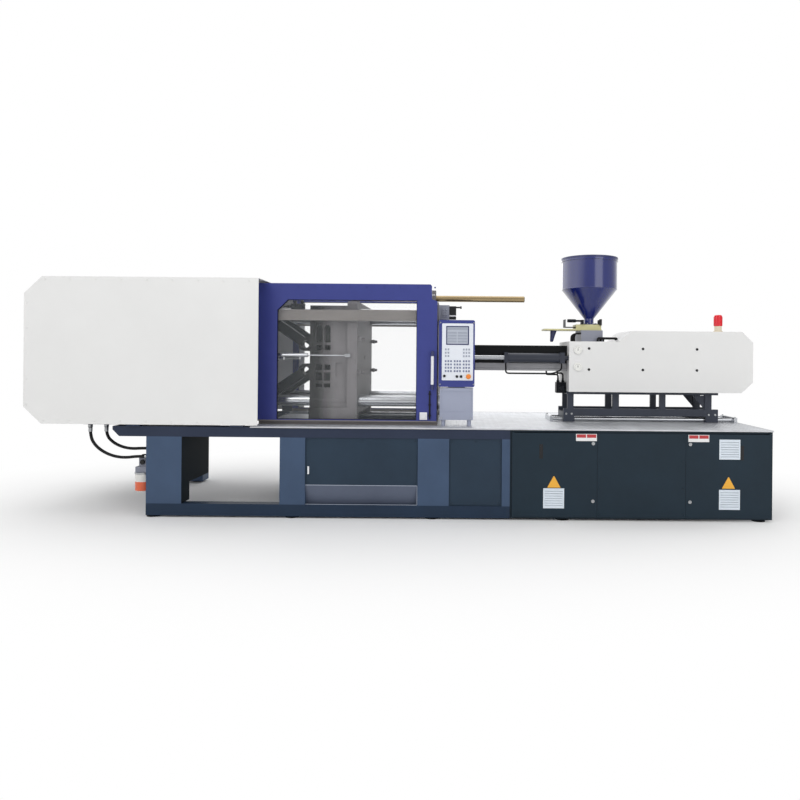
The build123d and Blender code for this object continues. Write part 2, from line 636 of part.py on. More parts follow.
# Crosshead on two guide rods, with the ram and the pins of the small links
crosshead_body = (crosshead_x - 40, crosshead_x + 40)
with BuildPart() as crosshead:
    block(crosshead_body, (-372, 372), (AXIS_Z - 42, AXIS_Z + 42))
    for flip in (-1, 1):
        pin = (crosshead_x, AXIS_Z + flip * CROSSHEAD_OFFSET)
        root = (crosshead_x, AXIS_Z)
        for side in both((SMALL_LINK_HALF + 3, SMALL_LINK_HALF + 33)):
            link_plate(root, pin, (SMALL_EYE, SMALL_EYE), 2 * SMALL_EYE, side)
        pin_y = (-SMALL_LINK_HALF - 33, SMALL_LINK_HALF + 33)
        slot_y = (-SMALL_LINK_HALF - 3, SMALL_LINK_HALF + 3)
        slot_z = sorted((AXIS_Z + flip * 24, AXIS_Z + flip * 60))
        block(crosshead_body, slot_y, slot_z, mode=Mode.SUBTRACT)
        rod_y(pin[0], pin_y, pin[1], SMALL_PIN)
    guide_bore = (crosshead_body[0] - 1, crosshead_body[1] + 1)
    for y in (-CROSSHEAD_GUIDE_Y, CROSSHEAD_GUIDE_Y):
        guide_fit = CROSSHEAD_GUIDE_RADIUS + SLIDE_FIT
        rod_x(guide_bore, y, AXIS_Z, guide_fit, mode=Mode.SUBTRACT)
    rod_x((cylinder_x[0] + 250, crosshead_body[0] + 1), 0, AXIS_Z, RAM_RADIUS)
save(crosshead.part, "crosshead")

for flip, half in ((1, "upper"), (-1, "lower")):
    rear_pin = (REAR_PIN_X, AXIS_Z + flip * PIN_OFFSET)
    front_pin = (FRONT_PIN_X, AXIS_Z + flip * PIN_OFFSET)
    elbow = (elbow_x, AXIS_Z + flip * elbow_rise)
    arm = (arm_x, AXIS_Z + flip * arm_rise)
    tube = (tube_x, AXIS_Z + flip * tube_rise)
    head_pin = (crosshead_x, AXIS_Z + flip * CROSSHEAD_OFFSET)

    # Rear links: two plates, the tube that ties them, the fork for the small link and the elbow pins
    with BuildPart() as rear_links:
        for side in both(REAR_LINK_SIDE):
            bores = (PIN_RADIUS + HINGE_FIT, 0)
            link_plate(rear_pin, elbow, (LINK_EYE, ELBOW_EYE), 100, side, bores)
        for side in both((REAR_LINK_SIDE[0], FRONT_LINK_SIDE[1])):
            rod_y(elbow[0], side, elbow[1], PIN_RADIUS)
        rod_y(tube[0], (-REAR_LINK_SIDE[0], REAR_LINK_SIDE[0]), tube[1], 25)
        for side in both((SMALL_LINK_HALF + 3, SMALL_LINK_HALF + 30)):
            link_plate(tube, arm, (32, SMALL_EYE), 60, side, (0, SMALL_PIN))
    save(rear_links.part, f"{half}_rear_links")

    with BuildPart() as front_links:
        for side in both(FRONT_LINK_SIDE):
            bores = (PIN_RADIUS + HINGE_FIT, PIN_RADIUS)
            link_plate(elbow, front_pin, (ELBOW_EYE, 58), 96, side, bores)
    save(front_links.part, f"{half}_front_links")

    with BuildPart() as small_link:
        side = (-SMALL_LINK_HALF, SMALL_LINK_HALF)
        bores = (SMALL_PIN + HINGE_FIT, SMALL_PIN)
        link_plate(head_pin, arm, (SMALL_EYE - 2, SMALL_EYE - 2), 46, side, bores)
    save(small_link.part, f"{half}_crosshead_link")

# Clamp cover: folded sheet panels screwed together with narrow seams
with BuildPart() as clamp_cover:
    run, drop = COVER_CHAMFER
    corners = (
        (COVER_RIGHT, COVER_LOW),
        (COVER_LEFT + run, COVER_LOW),
        (COVER_LEFT, COVER_LOW + drop),
        (COVER_LEFT, COVER_HIGH - drop),
        (COVER_LEFT + run, COVER_HIGH),
        (COVER_RIGHT, COVER_HIGH),
    )
    for side in both((HALF_WIDTH - SHEET, HALF_WIDTH)):
        profile_y(corners, side)
    wrap = (-HALF_WIDTH + SHEET + SEAM, HALF_WIDTH - SHEET - SEAM)
    left, top, low = COVER_LEFT, COVER_HIGH, COVER_LOW
    roof_left = left + run + SEAM
    roof = ((roof_left, top - SHEET), (COVER_RIGHT, top - SHEET), (COVER_RIGHT, top), (roof_left, top))
    end_low, end_high = low + drop + SEAM, top - drop - SEAM
    end = ((left, end_low), (left + SHEET, end_low), (left + SHEET, end_high), (left, end_high))
    upper = ((left, top - drop), (left + SHEET, top - drop), (left + run, top - SHEET), (left + run, top))
    lower = ((left, low + drop), (left + SHEET, low + drop), (left + run, low + SHEET), (left + run, low))
    for plate in (roof, end, upper, lower):
        profile_y(plate, wrap)
save(clamp_cover.part, "clamp_cover")


def gate(side, window, window_high, chamfer_size, rollers):
    """Sliding safety gate hung on two rollers; side is -1 for the operator's side, 1 for the rear."""
    y = sorted((side * GATE_Y[0], side * GATE_Y[1]))
    with BuildPart() as frame:
        outline = (
            (GATE_LEFT, GATE_LOW),
            (GATE_RIGHT, GATE_LOW),
            (GATE_RIGHT, GATE_SHOULDER),
            (GATE_BEAM_RIGHT, GATE_SHOULDER + 20),
            (GATE_BEAM_RIGHT, GATE_HIGH - 14),
            (GATE_BEAM_RIGHT - 14, GATE_HIGH),
            (GATE_LEFT, GATE_HIGH),
        )
        pane_outline = (
            (window[0], WINDOW_LOW),
            (window[1], WINDOW_LOW),
            (window[1], window_high),
            (window[0] + chamfer_size, window_high),
            (window[0], window_high - chamfer_size),
        )
        profile_y(outline, y)
        profile_y(pane_outline, (y[0] - 1, y[1] + 1), mode=Mode.SUBTRACT)
        for x in rollers:
            roller_z = RAIL_Z[1] + ROLLER_RADIUS + CLEAR
            rod_y(x, sorted((side * (RAIL_Y[0] + 8), side * (RAIL_Y[1] - 4))), roller_z, ROLLER_RADIUS)
            rod_y(x, sorted((side * (RAIL_Y[1] - 5), side * (GATE_Y[0] + 1))), roller_z, 12)
    with BuildPart() as pane:
        middle = (y[0] + y[1]) / 2
        profile_y(pane_outline, (middle - PANE / 2, middle + PANE / 2))
    return frame.part, pane.part


def handle(side):
    """Tube handle on two stubs, screwed to the right post of a gate."""
    with BuildPart() as gate_handle:
        grip_y = side * (GATE_Y[1] + HANDLE_REACH)
        rod_z(HANDLE_X, grip_y, HANDLE_Z, HANDLE_RADIUS)
        for z in (HANDLE_Z[0] + 12, HANDLE_Z[1] - 12):
            rod_y(HANDLE_X, sorted((grip_y, side * GATE_Y[1])), z, HANDLE_RADIUS - 4)
    return gate_handle.part


front_frame, front_pane = gate(-1, WINDOW, WINDOW_HIGH, WINDOW_CHAMFER, FRONT_ROLLERS)
rear_frame, rear_pane = gate(1, REAR_WINDOW, REAR_WINDOW_HIGH, 40, REAR_ROLLERS)
save(front_frame, "front_gate")
save(front_pane, "front_gate_window")
save(handle(-1), "front_gate_handle")
save(Compound(children=[rear_frame.solid(), handle(1).solid()]), "rear_gate")
save(rear_pane, "rear_gate_window")

# Rails that the gate rollers run on, with their brackets, rear posts and floor guides
with BuildPart() as gate_rails:
    for side in both(RAIL_Y):
        block(RAIL_X, side, RAIL_Z)
        block((-2550, -2490), side, (BEAM_TOP, RAIL_Z[0]))
    for side in both((PLATEN_HALF, RAIL_Y[0])):
        block((FIXED_FACE + 20, FIXED_BACK - 20), side, RAIL_Z)
        block((tail_back + 20, TAIL_FACE - 20), side, RAIL_Z)
    for side in both((GATE_Y[0] - 30, GATE_Y[0] - SEAM)):
        block((DECK_LEFT, FIXED_BACK), side, (DECK_TOP, GATE_LOW - 7))
    for side in both((GATE_Y[0] - 8, GATE_Y[0] - SEAM)):
        block((DECK_LEFT, FIXED_BACK), side, (GATE_LOW - 7, GATE_LOW + 12))
save(gate_rails.part, "gate_rails")

# Mechanical safety: a bar on the moving platen passes through a housing with a drop lever
with BuildPart() as safety_rod:
    rod_x(SAFETY_X, SAFETY_Y, SAFETY_Z, SAFETY_RADIUS)
    chamfer(safety_rod.edges().group_by(Axis.X)[-1], 5)
save(safety_rod.part, "safety_rod")

with BuildPart() as safety_housing:
    wall_y = (SAFETY_Y - 58, SAFETY_Y + 58)
    housing_z = (platen_z[1], SAFETY_Z + 75)
    block(SAFETY_BOX, wall_y, housing_z)
    inner_x = (SAFETY_BOX[0] - 1, SAFETY_BOX[1] - 14)
    inner_y = (wall_y[0] + 12, wall_y[1] - 12)
    block(inner_x, inner_y, (housing_z[0] + 12, housing_z[1] + 1), mode=Mode.SUBTRACT)
    rod_x((inner_x[1] - 1, SAFETY_BOX[1] + 1), SAFETY_Y, SAFETY_Z, SAFETY_RADIUS + SLIDE_FIT, mode=Mode.SUBTRACT)
    lever_pin = (SAFETY_BOX[0] + 20, SAFETY_Z + 52)
    rod_y(lever_pin[0], inner_y, lever_pin[1], 8)
save(Compound(children=[fixed_platen.solid(), safety_housing.solid()]), "fixed_platen")

with BuildPart() as safety_lever:
    lever_y = (inner_y[0] + 2, inner_y[1] - 2)
    lever_z = (SAFETY_Z + SAFETY_RADIUS + 5, SAFETY_Z + 68)
    block((lever_pin[0] - 14, inner_x[1] - 8), lever_y, lever_z)
    rod_y(lever_pin[0], (lever_y[0] - 1, lever_y[1] + 1), lever_pin[1], 8 + HINGE_FIT, mode=Mode.SUBTRACT)
save(safety_lever.part, "safety_lever")

# Position sensor of the moving platen: a fixed tube with a thin rod
SENSOR_Y = -575
SENSOR_Z = 1475
with BuildPart() as position_sensor:
    rod_x((TAIL_FACE - 20, -939), SENSOR_Y, SENSOR_Z, 18)
    block((TAIL_FACE - 70, TAIL_FACE - 20), (SENSOR_Y - 22, -PLATEN_HALF), (SENSOR_Z - 22, SENSOR_Z + 22))
    rod_x((TAIL_FACE - 10, -938), SENSOR_Y, SENSOR_Z, 7, mode=Mode.SUBTRACT)
save(position_sensor.part, "position_sensor")

with BuildPart() as position_sensor_rod:
    rod_x((TAIL_FACE + 170, face_back), SENSOR_Y, SENSOR_Z, 6)
    sensor_ear = (face_back - 14, face_back + 40)
    block(sensor_ear, (SENSOR_Y - 12, -PLATEN_HALF), (SENSOR_Z - 15, SENSOR_Z + 15))
save(position_sensor_rod.part, "position_sensor_rod")

# Operator's panel on a small cabinet
with BuildPart() as control_cabinet:
    foot_top = DECK_TOP + 56
    body_x = (PANEL_X[0] + 12, PANEL_X[1] - 12)
    block(body_x, PANEL_Y, (foot_top, PANEL_Z[0] - 10))
    block((400, 560), (-660, -580), (PANEL_Z[0] - 10, PANEL_Z[0]))
    recess_y = (PANEL_Y[0] - 1, PANEL_Y[0] + 6)
    block((body_x[0] + 12, body_x[1] - 12), recess_y, (957, 1152), mode=Mode.SUBTRACT)
    for x in (body_x[0] + 35, body_x[1] - 35):
        for y in (PANEL_Y[0] + 30, PANEL_Y[1] - 30):
            rod_z(x, y, (DECK_TOP, foot_top), 18)
save(control_cabinet.part, "control_cabinet")

with BuildPart() as control_panel:
    block(PANEL_X, PANEL_Y, PANEL_Z)
    fillet(control_panel.edges().filter_by(Axis.Y), 16)
    stop_bore = (PANEL_Y[0] - 1, PANEL_Y[0] + 24)
    rod_y(STOP_X, stop_bore, STOP_Z, LOCK_SHAFT + CLEAR, mode=Mode.SUBTRACT)
save(control_panel.part, "control_panel")

with BuildPart() as control_fascia:
    fascia_y = (PANEL_Y[0] - 4, PANEL_Y[0])
    block(FASCIA_X, fascia_y, FASCIA_Z)
    fillet(control_fascia.edges().filter_by(Axis.Y), 8)
    block(SCREEN_X, (fascia_y[0] - 1, fascia_y[1] + 1), SCREEN_Z, mode=Mode.SUBTRACT)
    rod_y(STOP_X, (fascia_y[0] - 1, fascia_y[1] + 1), STOP_Z, LOCK_SHAFT + CLEAR, mode=Mode.SUBTRACT)
save(control_fascia.part, "control_fascia")

with BuildPart() as control_screen:
    block(SCREEN_X, (PANEL_Y[0] - 3, PANEL_Y[0]), SCREEN_Z)
save(control_screen.part, "control_screen")

with BuildPart() as emergency_stop:
    rod_y(STOP_X, (PANEL_Y[0] - 30, PANEL_Y[0] - 16), STOP_Z, STOP_RADIUS)
    fillet(emergency_stop.edges().group_by(Axis.Y)[0], 6)
    rod_y(STOP_X, (PANEL_Y[0] - 17, PANEL_Y[0] + 12), STOP_Z, LOCK_SHAFT)
save(emergency_stop.part, "emergency_stop")

# Stand of the injection unit, sliding on the guide rods
with BuildPart() as injection_stand:
    stand_low, stand_high = STAND_BEAM[0], STAND_TOP[1]
    stand_x = (SHOES[0][0], SHOES[1][1])
    for side in both((STAND_HALF - 30, STAND_HALF)):
        block(stand_x, side, STAND_BEAM)
        for leg in STAND_LEGS:
            block(leg, side, (STAND_BEAM[1], STAND_TOP[0]))
    block((UNIT_LEFT, stand_x[1]), (-STAND_HALF, STAND_HALF), STAND_TOP)
    for shoe in SHOES:
        block(shoe, (-STAND_HALF, STAND_HALF), (DECK_TOP + 2, STAND_BEAM[0] + 32))
        for y in (-GUIDE_Y, GUIDE_Y):
            shoe_bore = (shoe[0] - 1, shoe[1] + 1)
            rod_x(shoe_bore, y, GUIDE_Z, GUIDE_RADIUS + SLIDE_FIT, mode=Mode.SUBTRACT)
save(injection_stand.part, "injection_stand")

# Feed block on its pedestal: two end blocks with the screw bore, and between them the square
# throat under the hopper with a cheek on each side and a bed below
mouth_x = (HOPPER_X - THROAT_HALF, HOPPER_X + THROAT_HALF)
feed_z = (AXIS_Z - 160, HOPPER_BASE[0])
screw_bore = (FEED_X[0] - 1, FEED_X[1] + 1)
with BuildPart() as feed_ends:
    block((FEED_X[0], mouth_x[0]), (-160, 160), feed_z)
    block((mouth_x[1], FEED_X[1]), (-160, 160), feed_z)
    block((FEED_X[0], FEED_X[0] + 40), (SEAT_Y - 40, -159), (SEAT_Z - 40, SEAT_Z + 40))
    rod_x(screw_bore, 0, AXIS_Z, SCREW_RADIUS + SLIDE_FIT, mode=Mode.SUBTRACT)
with BuildPart() as feed_cheeks:
    for side in both((THROAT_HALF, 160)):
        block(mouth_x, side, feed_z)
with BuildPart() as feed_bed:
    block(mouth_x, (-THROAT_HALF, THROAT_HALF), (feed_z[0], AXIS_Z))
    rod_x(screw_bore, 0, AXIS_Z, SCREW_RADIUS + SLIDE_FIT, mode=Mode.SUBTRACT)
with BuildPart() as feed_pedestal:
    block((FEED_X[0] + 18, FEED_X[1] - 20), (-140, 140), (UNIT_LOW, feed_z[0]))

# Barrel with its heater bands and the nozzle
with BuildPart() as barrel:
    rod_x(BARREL_X, 0, AXIS_Z, BARREL_RADIUS)
    rod_x((BARREL_X[1] - 45, BARREL_X[1]), 0, AXIS_Z, BARREL_RADIUS + 30)
    rod_x((BARREL_X[0] - 1, BARREL_X[1] + 1), 0, AXIS_Z, SCREW_RADIUS + SLIDE_FIT, mode=Mode.SUBTRACT)
with BuildPart() as heater_bands:
    band_length, band_gap = 180, 14
    for number in range(5):
        left = BARREL_X[0] + 60 + number * (band_length + band_gap)
        rod_x((left, left + band_length), 0, AXIS_Z, BARREL_RADIUS + 14)
        band_bore = (left - 1, left + band_length + 1)
        rod_x(band_bore, 0, AXIS_Z, BARREL_RADIUS + HINGE_FIT, mode=Mode.SUBTRACT)
with BuildPart() as nozzle:
    with BuildSketch(Plane.XZ):
        with BuildLine():
            Polyline(
                (NOZZLE_TIP, AXIS_Z + 4),
                (NOZZLE_TIP, AXIS_Z + 14),
                (NOZZLE_TIP + 14, AXIS_Z + 26),
                (NOZZLE_TIP + 170, AXIS_Z + 30),
                (NOZZLE_TIP + 190, AXIS_Z + 55),
                (BARREL_X[0], AXIS_Z + BARREL_RADIUS),
                (BARREL_X[0], AXIS_Z + SCREW_RADIUS),
                (NOZZLE_TIP + 180, AXIS_Z + 8),
                close=True,
            )
        make_face()
    revolve(axis=Axis((0, 0, AXIS_Z), (1, 0, 0)))
save(Compound(children=[barrel.solid(), nozzle.solid(), *heater_bands.solids()]), "barrel")

DRIVE_X = (2250, 2420)
with BuildPart() as screw:
    rod_x((BARREL_X[0] + 40, FEED_X[1] - 10), 0, AXIS_Z, SCREW_RADIUS - 9)
    rod_x((FEED_X[1] - 12, DRIVE_X[0] + 80), 0, AXIS_Z, SCREW_RADIUS - 7.5)
    with Locations(Location((BARREL_X[0] + 25, 0, AXIS_Z), (0, -90, 0))):
        Cone(SCREW_RADIUS - 4, 6, 50)
save(screw.part, "screw")

with BuildPart() as screw_drive:
    block(DRIVE_X, (-250, 250), (AXIS_Z - 110, AXIS_Z + 110))
    rod_x((DRIVE_X[1], DRIVE_X[1] + 60), 0, AXIS_Z, 120)
    rod_x((DRIVE_X[1] + 60, DRIVE_X[1] + 280), 0, AXIS_Z, 95)
    shaft_bore = (DRIVE_X[0] - 1, DRIVE_X[0] + 82)
    rod_x(shaft_bore, 0, AXIS_Z, SCREW_RADIUS - 7.5 + HINGE_FIT, mode=Mode.SUBTRACT)
    for y in (-190, 190):
        rod_x((FEED_X[1] + 20, DRIVE_X[0] + 1), y, AXIS_Z, 28)
save(screw_drive.part, "screw_drive")

with BuildPart() as injection_cylinders:
    for y in (-190, 190):
        rod_x((FEED_X[1], DRIVE_X[0] - 20), y, AXIS_Z, 60)
        rod_x((FEED_X[1] + 12, DRIVE_X[0] - 19), y, AXIS_Z, 28 + SLIDE_FIT, mode=Mode.SUBTRACT)
    block((FEED_X[1], FEED_X[1] + 10), (-250, 250), (AXIS_Z - 80, AXIS_Z + 80))
    rod_x((FEED_X[1] - 1, FEED_X[1] + 11), 0, AXIS_Z, SCREW_RADIUS + SLIDE_FIT, mode=Mode.SUBTRACT)
feed_groups = (feed_ends, feed_cheeks, feed_bed, feed_pedestal, injection_cylinders)
feed_solids = [solid for group in feed_groups for solid in group.solids()]
save(Compound(children=feed_solids), "feed_block")

with BuildPart() as seat_cylinder:
    rod_x(SEAT_X, SEAT_Y, SEAT_Z, SEAT_RADIUS)
    for cap in ((SEAT_X[0], SEAT_X[0] + 36), (SEAT_X[1] - 48, SEAT_X[1])):
        block(cap, (SEAT_Y - 54, SEAT_Y + 54), (SEAT_Z - 54, SEAT_Z + 54))
    rod_x((SEAT_X[1], FEED_X[0]), SEAT_Y, SEAT_Z, SEAT_ROD_RADIUS)
    seat_bore = (SEAT_X[0] - 1, SEAT_X[1] - 10)
    rod_x(seat_bore, SEAT_Y, SEAT_Z, SEAT_ROD_RADIUS + SLIDE_FIT, mode=Mode.SUBTRACT)
save(seat_cylinder.part, "seat_cylinder")

# Sheet guard round the hot barrel, open at both ends
with BuildPart() as barrel_guard:
    block(GUARD_X, (-GUARD_HALF, GUARD_HALF), GUARD_Z)
    inner_guard = (-GUARD_HALF + 3, GUARD_HALF - 3)
    guard_cut = (GUARD_X[0] - 1, GUARD_X[1] + 1)
    block(guard_cut, inner_guard, (GUARD_Z[0] + 3, GUARD_Z[1] - 3), mode=Mode.SUBTRACT)
save(barrel_guard.part, "barrel_guard")

# Cover of the injection unit, open below, with a low front part round the feed block
with BuildPart() as injection_cover:
    cover_outline = (
        (UNIT_LEFT, UNIT_LOW),
        (INJECTION_RIGHT - 113, UNIT_LOW),
        (INJECTION_RIGHT, UNIT_LOW + 106),
        (INJECTION_RIGHT, UNIT_HIGH - 107),
        (INJECTION_RIGHT - 110, UNIT_HIGH),
        (2211, UNIT_HIGH),
        (2092, UNIT_HIGH - 108),
        (UNIT_LEFT, UNIT_HIGH - 108),
    )
    profile_y(cover_outline, (-UNIT_HALF, UNIT_HALF))
    with BuildSketch(Plane.XZ.offset(UNIT_HALF - SHEET)) as hollow:
        Polygon(*cover_outline, align=None)
        offset(amount=-SHEET, kind=Kind.INTERSECTION)
    extrude(hollow.sketch, amount=-2 * (UNIT_HALF - SHEET), mode=Mode.SUBTRACT)
    floor_mouth = (UNIT_LEFT + SHEET, INJECTION_RIGHT - 160)
    block(floor_mouth, (-STAND_HALF - 20, STAND_HALF + 20), (UNIT_LOW - 1, UNIT_LOW + 10), mode=Mode.SUBTRACT)
    throat_x = (FEED_X[0] - 5, FEED_X[1] + 5)
    block(throat_x, (-166, 166), (UNIT_HIGH - 130, UNIT_HIGH - 100), mode=Mode.SUBTRACT)
    left_wall = (UNIT_LEFT - 1, UNIT_LEFT + SHEET + 1)
    rod_x(left_wall, 0, AXIS_Z, BARREL_RADIUS + 20, mode=Mode.SUBTRACT)
    rod_x(left_wall, SEAT_Y, SEAT_Z, SEAT_ROD_RADIUS + 5, mode=Mode.SUBTRACT)
save(injection_cover.part, "injection_cover")

with BuildPart() as pressure_gauges:
    for z in (1383, 1550):
        rod_y(1682, (-UNIT_HALF - 16, -UNIT_HALF), z, 40)
        rod_y(1682, (-UNIT_HALF - 17, -UNIT_HALF - 13), z, 35, mode=Mode.SUBTRACT)
save(pressure_gauges.part, "pressure_gauges")

# Hopper on its slide, with the shutter and the hinged lid
with BuildPart() as hopper_base:
    block((1374, FEED_X[1]), (-110, 110), HOPPER_BASE)
    rod_z(HOPPER_X, 0, (HOPPER_BASE[0] - 1, HOPPER_BASE[1] + 1), 40, mode=Mode.SUBTRACT)
save(hopper_base.part, "hopper_base")

SHUTTER_Z = (1786, 1792)
with BuildPart() as hopper_slide:
    block((1702, 1958), (-100, 100), (HOPPER_BASE[1] + CLEAR, 1815))
    rod_z(HOPPER_X, 0, (HOPPER_BASE[1], 1816), 45, mode=Mode.SUBTRACT)
    slot_z = (SHUTTER_Z[0] - CLEAR, SHUTTER_Z[1] + CLEAR)
    block((1701, 1910), (-60 - CLEAR, 60 + CLEAR), slot_z, mode=Mode.SUBTRACT)
save(hopper_slide.part, "hopper_slide")

with BuildPart() as hopper_shutter:
    block((1600, 1908), (-60, 60), SHUTTER_Z)
    block((1594, 1600), (-60, 60), (SHUTTER_Z[0], 1868))
save(hopper_shutter.part, "hopper_shutter")

with BuildPart() as hopper:
    with BuildSketch(Plane.XZ):
        with BuildLine():
            Polyline(
                (HOPPER_X + 45, 1815),
                (HOPPER_X + 90, 1815),
                (HOPPER_X + 90, 1825),
                (HOPPER_X + 45 + HOPPER_SHEET, 1825),
                (HOPPER_X + 45 + HOPPER_SHEET, HOPPER_NECK),
                (HOPPER_X + HOPPER_RADIUS, HOPPER_SHOULDER),
                (HOPPER_X + HOPPER_RADIUS, HOPPER_RIM - 16),
                (HOPPER_X + HOPPER_RADIUS + 8, HOPPER_RIM - 16),
                (HOPPER_X + HOPPER_RADIUS + 8, HOPPER_RIM),
                (HOPPER_X + HOPPER_RADIUS - HOPPER_SHEET, HOPPER_RIM),
                (HOPPER_X + HOPPER_RADIUS - HOPPER_SHEET, HOPPER_SHOULDER + 1),
                (HOPPER_X + 45, HOPPER_NECK + 1),
                close=True,
            )
        make_face()
    revolve(axis=Axis((HOPPER_X, 0, 0), (0, 0, 1)))
    lid_pin = (HOPPER_RADIUS + 20, HOPPER_RIM + LID_HEIGHT / 2)
    for x in (HOPPER_X - 45, HOPPER_X + 45):
        block((x - 4, x + 4), (HOPPER_RADIUS - 6, lid_pin[0] + 9), (HOPPER_RIM - 16, HOPPER_RIM - 1))
        block((x - 4, x + 4), (lid_pin[0] - 9, lid_pin[0] + 9), (HOPPER_RIM - 16, lid_pin[1] + 9))
    rod_x((HOPPER_X - 45, HOPPER_X + 45), lid_pin[0], lid_pin[1], 5)
save(hopper.part, "hopper")

with BuildPart() as hopper_lid:
    rod_z(HOPPER_X, 0, (HOPPER_RIM + CLEAR, HOPPER_RIM + LID_HEIGHT), HOPPER_RADIUS + 8)
    lid_hollow = (HOPPER_RIM, HOPPER_RIM + LID_HEIGHT - 4)
    rod_z(HOPPER_X, 0, lid_hollow, HOPPER_RADIUS - 8, mode=Mode.SUBTRACT)
    knuckle_x = (HOPPER_X - 40, HOPPER_X + 40)
    block(knuckle_x, (HOPPER_RADIUS, lid_pin[0]), (lid_pin[1] - 4, lid_pin[1] + 4))
    rod_x(knuckle_x, lid_pin[0], lid_pin[1], 9)
    rod_x((knuckle_x[0] - 1, knuckle_x[1] + 1), lid_pin[0], lid_pin[1], 5 + HINGE_FIT, mode=Mode.SUBTRACT)
save(hopper_lid.part, "hopper_lid")

BEACON = (3134, -150)
with BuildPart() as beacon_base:
    rod_z(*BEACON, (UNIT_HIGH, UNIT_HIGH + 12), 46)
    rod_z(*BEACON, (UNIT_HIGH + 12, UNIT_HIGH + 62), 36)
with BuildPart() as beacon_lens:
    rod_z(*BEACON, (UNIT_HIGH + 62, 1920), 40)
    fillet(beacon_lens.edges().group_by(Axis.Z)[-1], 16)
save(Compound(children=[beacon_base.solid(), beacon_lens.solid()]), "beacon")

# Central lubrication pump on the left leg with its oil jar
JAR = (-2450, -640)
with BuildPart() as lubricator:
    block((JAR[0] - 60, LEFT_LEG[0]), (JAR[1] - 55, JAR[1] + 55), (361, 420))
    block((JAR[0] - 35, JAR[0] + 35), (JAR[1] - 35, JAR[1] + 35), (420, 500))
    rod_z(*JAR, (500, 530), 22)
with BuildPart() as oil_jar:
    rod_z(*JAR, (189, 361), 80)
    fillet(oil_jar.edges().group_by(Axis.Z)[0], 14)
save(Compound(children=[lubricator.solid(), oil_jar.solid()]), "lubricator")


def hose(points, y, diameter, name):
    """A hose of straight runs joined by tangent arcs, its points given as (X, Z)."""
    runs = [Vector(x, y, z) for x, z in points]
    radii = []
    for before, corner, after in zip(runs, runs[1:], runs[2:]):
        turn = (corner - before).get_angle(after - corner)
        shorter = min((corner - before).length, (after - corner).length)
        radii.append(0.45 * shorter / tan(radians(turn / 2)))
    with BuildPart() as tube:
        with BuildLine() as path:
            FilletPolyline(*runs, radius=radii)
        with BuildSketch(Plane(origin=runs[0], z_dir=runs[1] - runs[0])):
            Circle(diameter / 2)
        sweep(path=path.wire())
    length = path.wire().length
    area = pi * diameter**2 / 4
    print(name, "length", round(length), "volume ratio", round(tube.part.volume / (area * length), 4))
    print(name, "radii", [round(radius) for radius in radii])
    save(tube.part, name)


HOSE_DIAMETER = 27
FITTING_TOP = 790
LEG_FITTING = LEFT_LEG[0] - 43
OUTER_HOSE_Y = -722
INNER_HOSE_Y = -688
OUTER_HOSE = (
    (-2916, FITTING_TOP),
    (-2916, 700),
    (-2868, 618),
    (-2785, 556),
    (-2690, 520),
    (-2588, 509),
    (-2478, 524),
    (LEG_FITTING, 524),
)
INNER_HOSE = (
    (-2785, FITTING_TOP),
    (-2785, 712),
    (-2722, 645),
    (-2640, 605),
    (-2550, 588),
    (-2455, 594),
    (LEG_FITTING, 594),
)
hose(OUTER_HOSE, OUTER_HOSE_Y, HOSE_DIAMETER, "clamp_hose_outer")
hose(INNER_HOSE, INNER_HOSE_Y, HOSE_DIAMETER, "clamp_hose_inner")

# Bulkhead plate under the cover and the hose fittings
with BuildPart() as hose_fittings:
    plate_x = (OUTER_HOSE[0][0] - 44, BASE_LEFT + 188)
    block(plate_x, (OUTER_HOSE_Y - 37, INNER_HOSE_Y + 48), (BEAM_TOP, BEAM_TOP + 10))
    for points, y in ((OUTER_HOSE, OUTER_HOSE_Y), (INNER_HOSE, INNER_HOSE_Y)):
        rod_z(points[0][0], y, (FITTING_TOP, BEAM_TOP), 19)
        rod_x((LEG_FITTING, LEFT_LEG[0]), y, points[-1][1], 19)
save(Compound(children=[*frame_lengths, *hose_fittings.solids()]), "base_frame")

# Pump set and tank in the left bay of the cabinet, switchgear in the right bay
bay_floor = CABINET_FLOOR + CABINET_WALL
PUMP_SET_X = (1040, 1500)
with BuildPart() as hydraulic_unit:
    block((1260, 2100), (60, cavity_y[1] - 53), (bay_floor, 620))
    block(PUMP_SET_X, (-560, -300), (bay_floor, bay_floor + 60))
    motor_end = PUMP_SET_X[1] - 120
    rod_x((PUMP_SET_X[0] + 20, motor_end), -430, 260, 150)
    rod_x((motor_end, PUMP_SET_X[1]), -430, 260, 80)
    block((1090, 1340), (-520, -340), (bay_floor + 60, 200))
with BuildPart() as switchgear:
    switch_front = cavity_y[1] - 273
    block((2640, 3250), (switch_front, cavity_y[1]), (bay_floor, 760))
    for x in (2680, 2880, 3080):
        for z in (160, 380, 580):
            block((x, x + 140), (switch_front - 100, switch_front), (z, z + 130))
save(Compound(children=[*hydraulic_unit.solids(), *switchgear.solids()]), "cabinet_equipment")
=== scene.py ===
import json
from math import cos, pi, radians, sin

import bpy
from mathutils import Matrix, Vector


